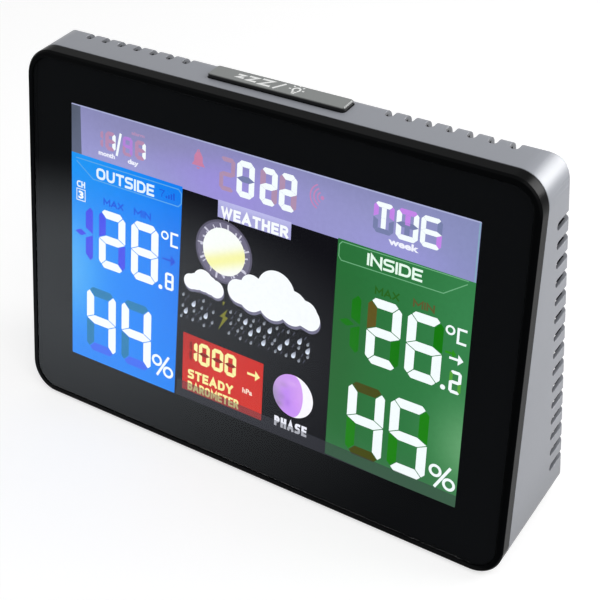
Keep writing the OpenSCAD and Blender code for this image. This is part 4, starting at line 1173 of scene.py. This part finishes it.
# slot: surface, colour (hex, or the name of a colour setting), roughness, grain in mm, bump,
# mottle, and what differs from a plain plastic. A mould's real grain is finer than a tenth of a
# millimetre and is drawn coarser here, so that it shows
FINISHES = {
    # ABS from a spark-eroded mould: a soft satin sheen broken by a fine grain; painted shade
    # darkens the closed inside behind the slots, the hollows and the sides near the floor
    "case_grey": ("abs_grey_grained", "case", 0.38, 0.45, 0.2, 0.03,
                  {"ior": 1.53, "cavity_mm": 60, "edge_mm": 0.35}),
    # ABS from a finer mould: near black, with little gloss and a soft light on its edges
    "frame_black": ("abs_black_satin", "front", 0.24, 0.35, 0.1, 0.08,
                    {"ior": 1.25, "gloss": 0.14, "edge_mm": 0.3}),
    # satin ABS: nearly black sides as painted shade, under a grey top as painted light
    "bar_grey": ("abs_dark_grey_satin", "bar", 0.34, 0.4, 0.18, 0.04,
                 {"ior": 1.53, "gloss": 0.3}),
    # moulded ABS: a little darker and glossier than the case
    "key_grey": ("abs_key_grey", "#85868a", 0.36, 0.4, 0.15, 0.03, {"ior": 1.53}),
    # float glass under polariser film: a dark, even sheen
    "lcd": ("lcd_glass_dark", "#0a0b10", 0.2, 2.0, 0.02, 0.05, {"ior": 1.52}),
    # extruded polystyrene sheet: bright white, half matt
    "sheet_white": ("polystyrene_white", "#e9e9ea", 0.5, 0.6, 0.1, 0.02, {"ior": 1.59}),
    # moulded acrylic: pale blue and glossy
    "guide_clear": ("acrylic_light_guide", "#d7e6ee", 0.12, 2.0, 0.03, 0.02, {"ior": 1.49}),
    # layered silicone: dull dark grey with a slight mottle
    "strip_rubber": ("silicone_zebra_strip", "#3a3f49", 0.6, 0.5, 0.2, 0.06, {"ior": 1.41}),
    # cast phosphor resin: warm pale yellow
    "led_white": ("led_phosphor", "#f3efc8", 0.4, 0.5, 0.1, 0.04, {}),
    # glass-fibre board under green solder mask: a wet-looking coat over an uneven green
    "board_green": ("solder_mask_green", "#1c5a34", 0.3, 1.0, 0.12, 0.10, {"coat": 0.2}),
    # moulded epoxy: flat charcoal
    "chip_black": ("epoxy_black", "#17181a", 0.55, 0.3, 0.2, 0.08, {"ior": 1.55}),
    # the same board under blue mask
    "radio_blue": ("solder_mask_blue", "#1d3f7c", 0.3, 1.0, 0.12, 0.10, {"coat": 0.2}),
    # drawn tinned copper: bright, with fine drawing marks
    "wire_tin": ("tinned_copper_drawn", "#c9cbcd", 0.25, 0.3, 0.15, 0.05, {"metallic": 1.0}),
    # fired ceramic: warm white, half matt
    "sensor_white": ("ceramic_white", "#eceae4", 0.4, 0.4, 0.1, 0.03, {"ior": 1.6}),
    # extruded PVC ribbon: soft grey, rippled at the pitch of its wires
    "ribbon_grey": ("pvc_ribbon_grey", "#b4b5b8", 0.45, 1.27, 0.25, 0.05, {"ior": 1.54}),
    # stamped steel with nickel plating: warm bright metal
    "contact_nickel": ("nickel_plated_steel", "#c4c1b8", 0.22, 0.5, 0.12, 0.06,
                       {"metallic": 1.0}),
    # shrunk PVC film: smooth dark grey, with a low sheen
    "cell_wrap": ("printed_pvc_film", "#26282c", 0.34, 0.6, 0.05, 0.10,
                  {"ior": 1.54, "gloss": 0.3}),
    # moulded nylon: dull black
    "jack_black": ("nylon_black_moulded", "#141517", 0.45, 0.4, 0.2, 0.08, {"ior": 1.53}),
    # extruded PVC: an even red with a soft sheen
    "lead_red": ("pvc_insulation_red", "#a82420", 0.4, 0.5, 0.1, 0.06, {"ior": 1.54}),
    # steel with bright zinc plating: cool grey metal, slightly cloudy
    "screw_zinc": ("zinc_plated_steel", "#b9bcc0", 0.3, 0.25, 0.2, 0.08, {"metallic": 1.0}),
    # moulded soft rubber: matt, with a faint dusty mottle
    "foot_rubber": ("rubber_matt", "#1e1f20", 0.85, 0.5, 0.3, 0.12, {"ior": 1.52}),
}


def slot_finish(name):
    """The finish of a material slot."""
    if name == "panel_black":
        return finish("clear_acrylic_polished", clear_panel)
    surface, colour, *settings, more = FINISHES[name]
    if not colour.startswith("#"):
        colour = getattr(colours(), colour)[:]
    if name == "bar_grey":
        return finish(surface, painted_light_top, colour, colours().bar_top[:], *settings, **more)
    return finish(surface, plastic, colour, *settings, **more)


# ---- stage ----

# soft boxes that face the object's middle: place and side in mm, power in watts
LAMPS = {
    "key_light": ((700, -500, 1100), 900, 4.8),
    "side_light": ((400, 260, 400), 300, 1.0),
    "rim_light": ((800, 850, 680), 800, 23),
}
OBJECT_MIDDLE = (0, 0, 70)
# how strongly the white world lights the object, and how strongly its gloss shows it
SKY_LIGHT, SKY_GLOSS = 0.44, 0.8
# what the white floor shows of itself to the camera and to gloss, over the light it gets
FLOOR_GLOW = 0.6
# the pale patch of the gloss card, an ellipse: middle, turn and radii in mm, where its edge
# starts to fade as a share of the radii, and its strength inside and outside
PATCH_AT, PATCH_TURN, PATCH_RADII = (-180, -150, 0), math.radians(-43), (290, 165)
PATCH_FADE, PATCH_BRIGHT, PATCH_DIM = 0.2, 1.38, 0.1
# the camera stands in front, to the right and above, with a slight roll, mm
EYE, AIM, ROLL = (221.98, -288.06, 339.14), (13.6, 0, 68.44), math.radians(-4.51)
LENS_MM, SENSOR_MM = 78.43, 36


def sheet_of(name, width, depth, height, start, material, n=12):
    """A level sheet: a grid of points that runs across the width and from start back over the
    depth, at one height. Sizes are in mm."""
    gx, gy = np.meshgrid(np.linspace(-width / 2, width / 2, n),
                         np.linspace(start, start + depth, n))
    points = np.stack([gx, gy, np.full_like(gx, height)], -1).reshape(-1, 3) * MM
    mesh = bpy.data.meshes.new(name)
    mesh.from_pydata(points.tolist(), [], grid_faces(n, n).tolist())
    mesh.materials.append(material)
    obj = linked(name, mesh)
    obj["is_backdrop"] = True
    return obj


def seen_rays(tree):
    """A camera ray's mark, and the mark of any ray that shows the surroundings: straight to
    the camera, off a gloss or through glass."""
    path = node(tree, "ShaderNodeLightPath")
    direct = path.outputs["Is Camera Ray"]
    shown = direct
    for kind in ("Is Glossy Ray", "Is Transmission Ray"):
        shown = node(tree, "ShaderNodeMath", {"operation": "MAXIMUM"},
                     {0: shown, 1: path.outputs[kind]})
    return direct, shown


def floor_paint():
    """Matt white paint that looks white to the camera and to gloss, and takes soft shadows."""
    m, tree = blank("matt_white_floor")
    paint = node(tree, "ShaderNodeBsdfDiffuse", {"Color": (*linear("#cecece"), 1)})
    lift = node(tree, "ShaderNodeMath", {"operation": "MULTIPLY", 1: FLOOR_GLOW},
                {0: seen_rays(tree)[1]})
    glow = node(tree, "ShaderNodeEmission", links={"Strength": lift})
    both = node(tree, "ShaderNodeAddShader", links={0: paint, 1: glow})
    node(tree, "ShaderNodeOutputMaterial", links={"Surface": both})
    return m


def gloss_card_paint():
    """A grey card with one pale patch, which only gloss sees. The patch is an ellipse in front
    and to the left, so the left of the panel shines and the right stays deep black: a point's
    distance from the patch's middle, turned and divided by the radii, sets its strength."""
    m, tree = blank("gloss_card")
    shifted = node(tree, "ShaderNodeVectorMath", {"operation": "SUBTRACT", 1: PATCH_AT},
                   {0: place_mm(tree)})
    turned = node(tree, "ShaderNodeVectorRotate",
                  {"rotation_type": "Z_AXIS", "Angle": PATCH_TURN}, {"Vector": shifted})
    across, along = PATCH_RADII
    squeezed = node(tree, "ShaderNodeVectorMath",
                    {"operation": "MULTIPLY", 1: (1 / across, 1 / along, 0)}, {0: turned})
    away = node(tree, "ShaderNodeVectorMath", {"operation": "LENGTH"}, {0: squeezed})
    level = node(tree, "ShaderNodeMapRange",
                 {"From Min": PATCH_FADE, "From Max": 1.0, "To Min": PATCH_BRIGHT,
                  "To Max": PATCH_DIM, "interpolation_type": "SMOOTHSTEP"},
                 {"Value": away.outputs["Value"]})
    glow = node(tree, "ShaderNodeEmission", {"Color": (*linear("#eff7ff"), 1)},
                {"Strength": level})
    node(tree, "ShaderNodeOutputMaterial", links={"Surface": glow})
    return m


def studio_world():
    """A white world: dimmer for the light that falls on the object than for its gloss, and
    plain white behind it."""
    world = bpy.data.worlds.new("studio")
    world.use_nodes = True
    tree = world.node_tree
    tree.nodes.clear()
    direct, shown = seen_rays(tree)
    level = node(tree, "ShaderNodeMapRange", {"To Min": SKY_LIGHT, "To Max": SKY_GLOSS},
                 {"Value": shown})
    white = node(tree, "ShaderNodeMath", {"operation": "MAXIMUM"}, {0: level, 1: direct})
    sky = node(tree, "ShaderNodeBackground", {"Color": (1, 1, 1, 1)}, {"Strength": white})
    node(tree, "ShaderNodeOutputWorld", links={"Surface": sky})
    return world


def facing(at, aim):
    """A place in mm, turned so that what stands there looks at the aim, with its head up."""
    turn = (Vector(aim) - Vector(at)).to_track_quat("-Z", "Y")
    return Matrix.Translation(Vector(at) * MM) @ turn.to_matrix().to_4x4()


def make_stage():
    """Floor, the card for the gloss, lamps, world and camera."""
    scene = bpy.context.scene
    sheet_of("floor", width=9000, depth=9000, height=0, start=-4500, material=floor_paint())
    gloss = sheet_of("gloss_card", width=1600, depth=1400, height=0.4, start=-1430,
                     material=gloss_card_paint())
    gloss.visible_camera = gloss.visible_diffuse = gloss.visible_shadow = False
    gloss.visible_transmission = False
    for name, (at, side, power) in LAMPS.items():
        light = bpy.data.lights.new(name, "AREA")
        light.size, light.energy = side * MM, power
        lamp = linked(name, light)
        lamp.matrix_world = facing(at, OBJECT_MIDDLE)
        # the rim light is there for the gloss along the edges alone
        lamp.visible_diffuse = name != "rim_light"
    scene.world = studio_world()
    camera = bpy.data.cameras.new("camera")
    camera.lens, camera.sensor_width = LENS_MM, SENSOR_MM
    camera.clip_start, camera.clip_end = 0.01, 50
    scene.camera = linked("camera", camera)
    scene.camera.matrix_world = facing(EYE, AIM) @ Matrix.Rotation(ROLL, 4, "Z")
    scene.view_settings.view_transform = "Standard"


# ---- operators ----


class STATION_OT_picture(bpy.types.Operator):
    """Make the lit picture: grounds, frames, digits and signs"""

    bl_idname = "station.picture"
    bl_label = "Picture"

    def execute(self, context):
        make_grounds()
        make_frames()
        make_digits()
        make_signs()
        return {"FINISHED"}


class STATION_OT_weather(bpy.types.Operator):
    """Make the forecast's sun, clouds, rain, lightning and moon"""

    bl_idname = "station.weather"
    bl_label = "Weather pictures"

    def execute(self, context):
        make_weather()
        return {"FINISHED"}


class STATION_OT_panel(bpy.types.Operator):
    """Make the black print behind the clear panel, and the strip of painted shade"""

    bl_idname = "station.panel"
    bl_label = "Panel print"

    def execute(self, context):
        make_panel_print()
        make_painted_shade_strip()
        return {"FINISHED"}


class STATION_OT_prints(bpy.types.Operator):
    """Print the snooze bar and the keys' legends"""

    bl_idname = "station.prints"
    bl_label = "Case prints"

    def execute(self, context):
        make_bar_print()
        make_key_legends()
        return {"FINISHED"}


class STATION_OT_shells(bpy.types.Operator):
    """Shade the moulded pieces smoothly"""

    bl_idname = "station.shells"
    bl_label = "Moulded shells"

    def execute(self, context):
        for name in SMOOTHED:
            smooth_copy(name)
        return {"FINISHED"}


class STATION_OT_finishes(bpy.types.Operator):
    """Give every piece that keeps a CAD slot its finish"""

    bl_idname = "station.finishes"
    bl_label = "Finishes"

    def execute(self, context):
        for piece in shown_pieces():
            for held in piece.material_slots:
                if held.material.name in FINISHES or held.material.name == "panel_black":
                    held.material = slot_finish(held.material.name)
        return {"FINISHED"}


class STATION_OT_stage(bpy.types.Operator):
    """Set up the floor, lamps and camera"""

    bl_idname = "station.stage"
    bl_label = "Stage"

    def execute(self, context):
        make_stage()
        return {"FINISHED"}


OPERATORS = (STATION_OT_picture, STATION_OT_weather, STATION_OT_panel, STATION_OT_prints,
             STATION_OT_shells, STATION_OT_finishes, STATION_OT_stage)


class STATION_PT_build(bpy.types.Panel):
    """The steps in order, with the settings they read"""

    bl_idname = "STATION_PT_build"
    bl_label = "Weather station"
    bl_space_type = "VIEW_3D"
    bl_region_type = "UI"
    bl_category = "Weather station"

    def draw(self, context):
        for group in (context.scene.station_sizes, context.scene.station_colours):
            for name in group.__annotations__:
                self.layout.prop(group, name)
        for step in OPERATORS:
            self.layout.operator(step.bl_idname)


CLASSES = (StationSizes, StationColours, *OPERATORS, STATION_PT_build)


def register():
    for made in CLASSES:
        bpy.utils.register_class(made)
    bpy.types.Scene.station_sizes = bpy.props.PointerProperty(type=StationSizes)
    bpy.types.Scene.station_colours = bpy.props.PointerProperty(type=StationColours)


def unregister():
    del bpy.types.Scene.station_colours
    del bpy.types.Scene.station_sizes
    for made in reversed(CLASSES):
        bpy.utils.unregister_class(made)


def main():
    """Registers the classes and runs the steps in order."""
    register()
    for step in OPERATORS:
        getattr(bpy.ops.station, step.bl_idname.split(".")[1])()


if __name__ == "__main__":
    main()
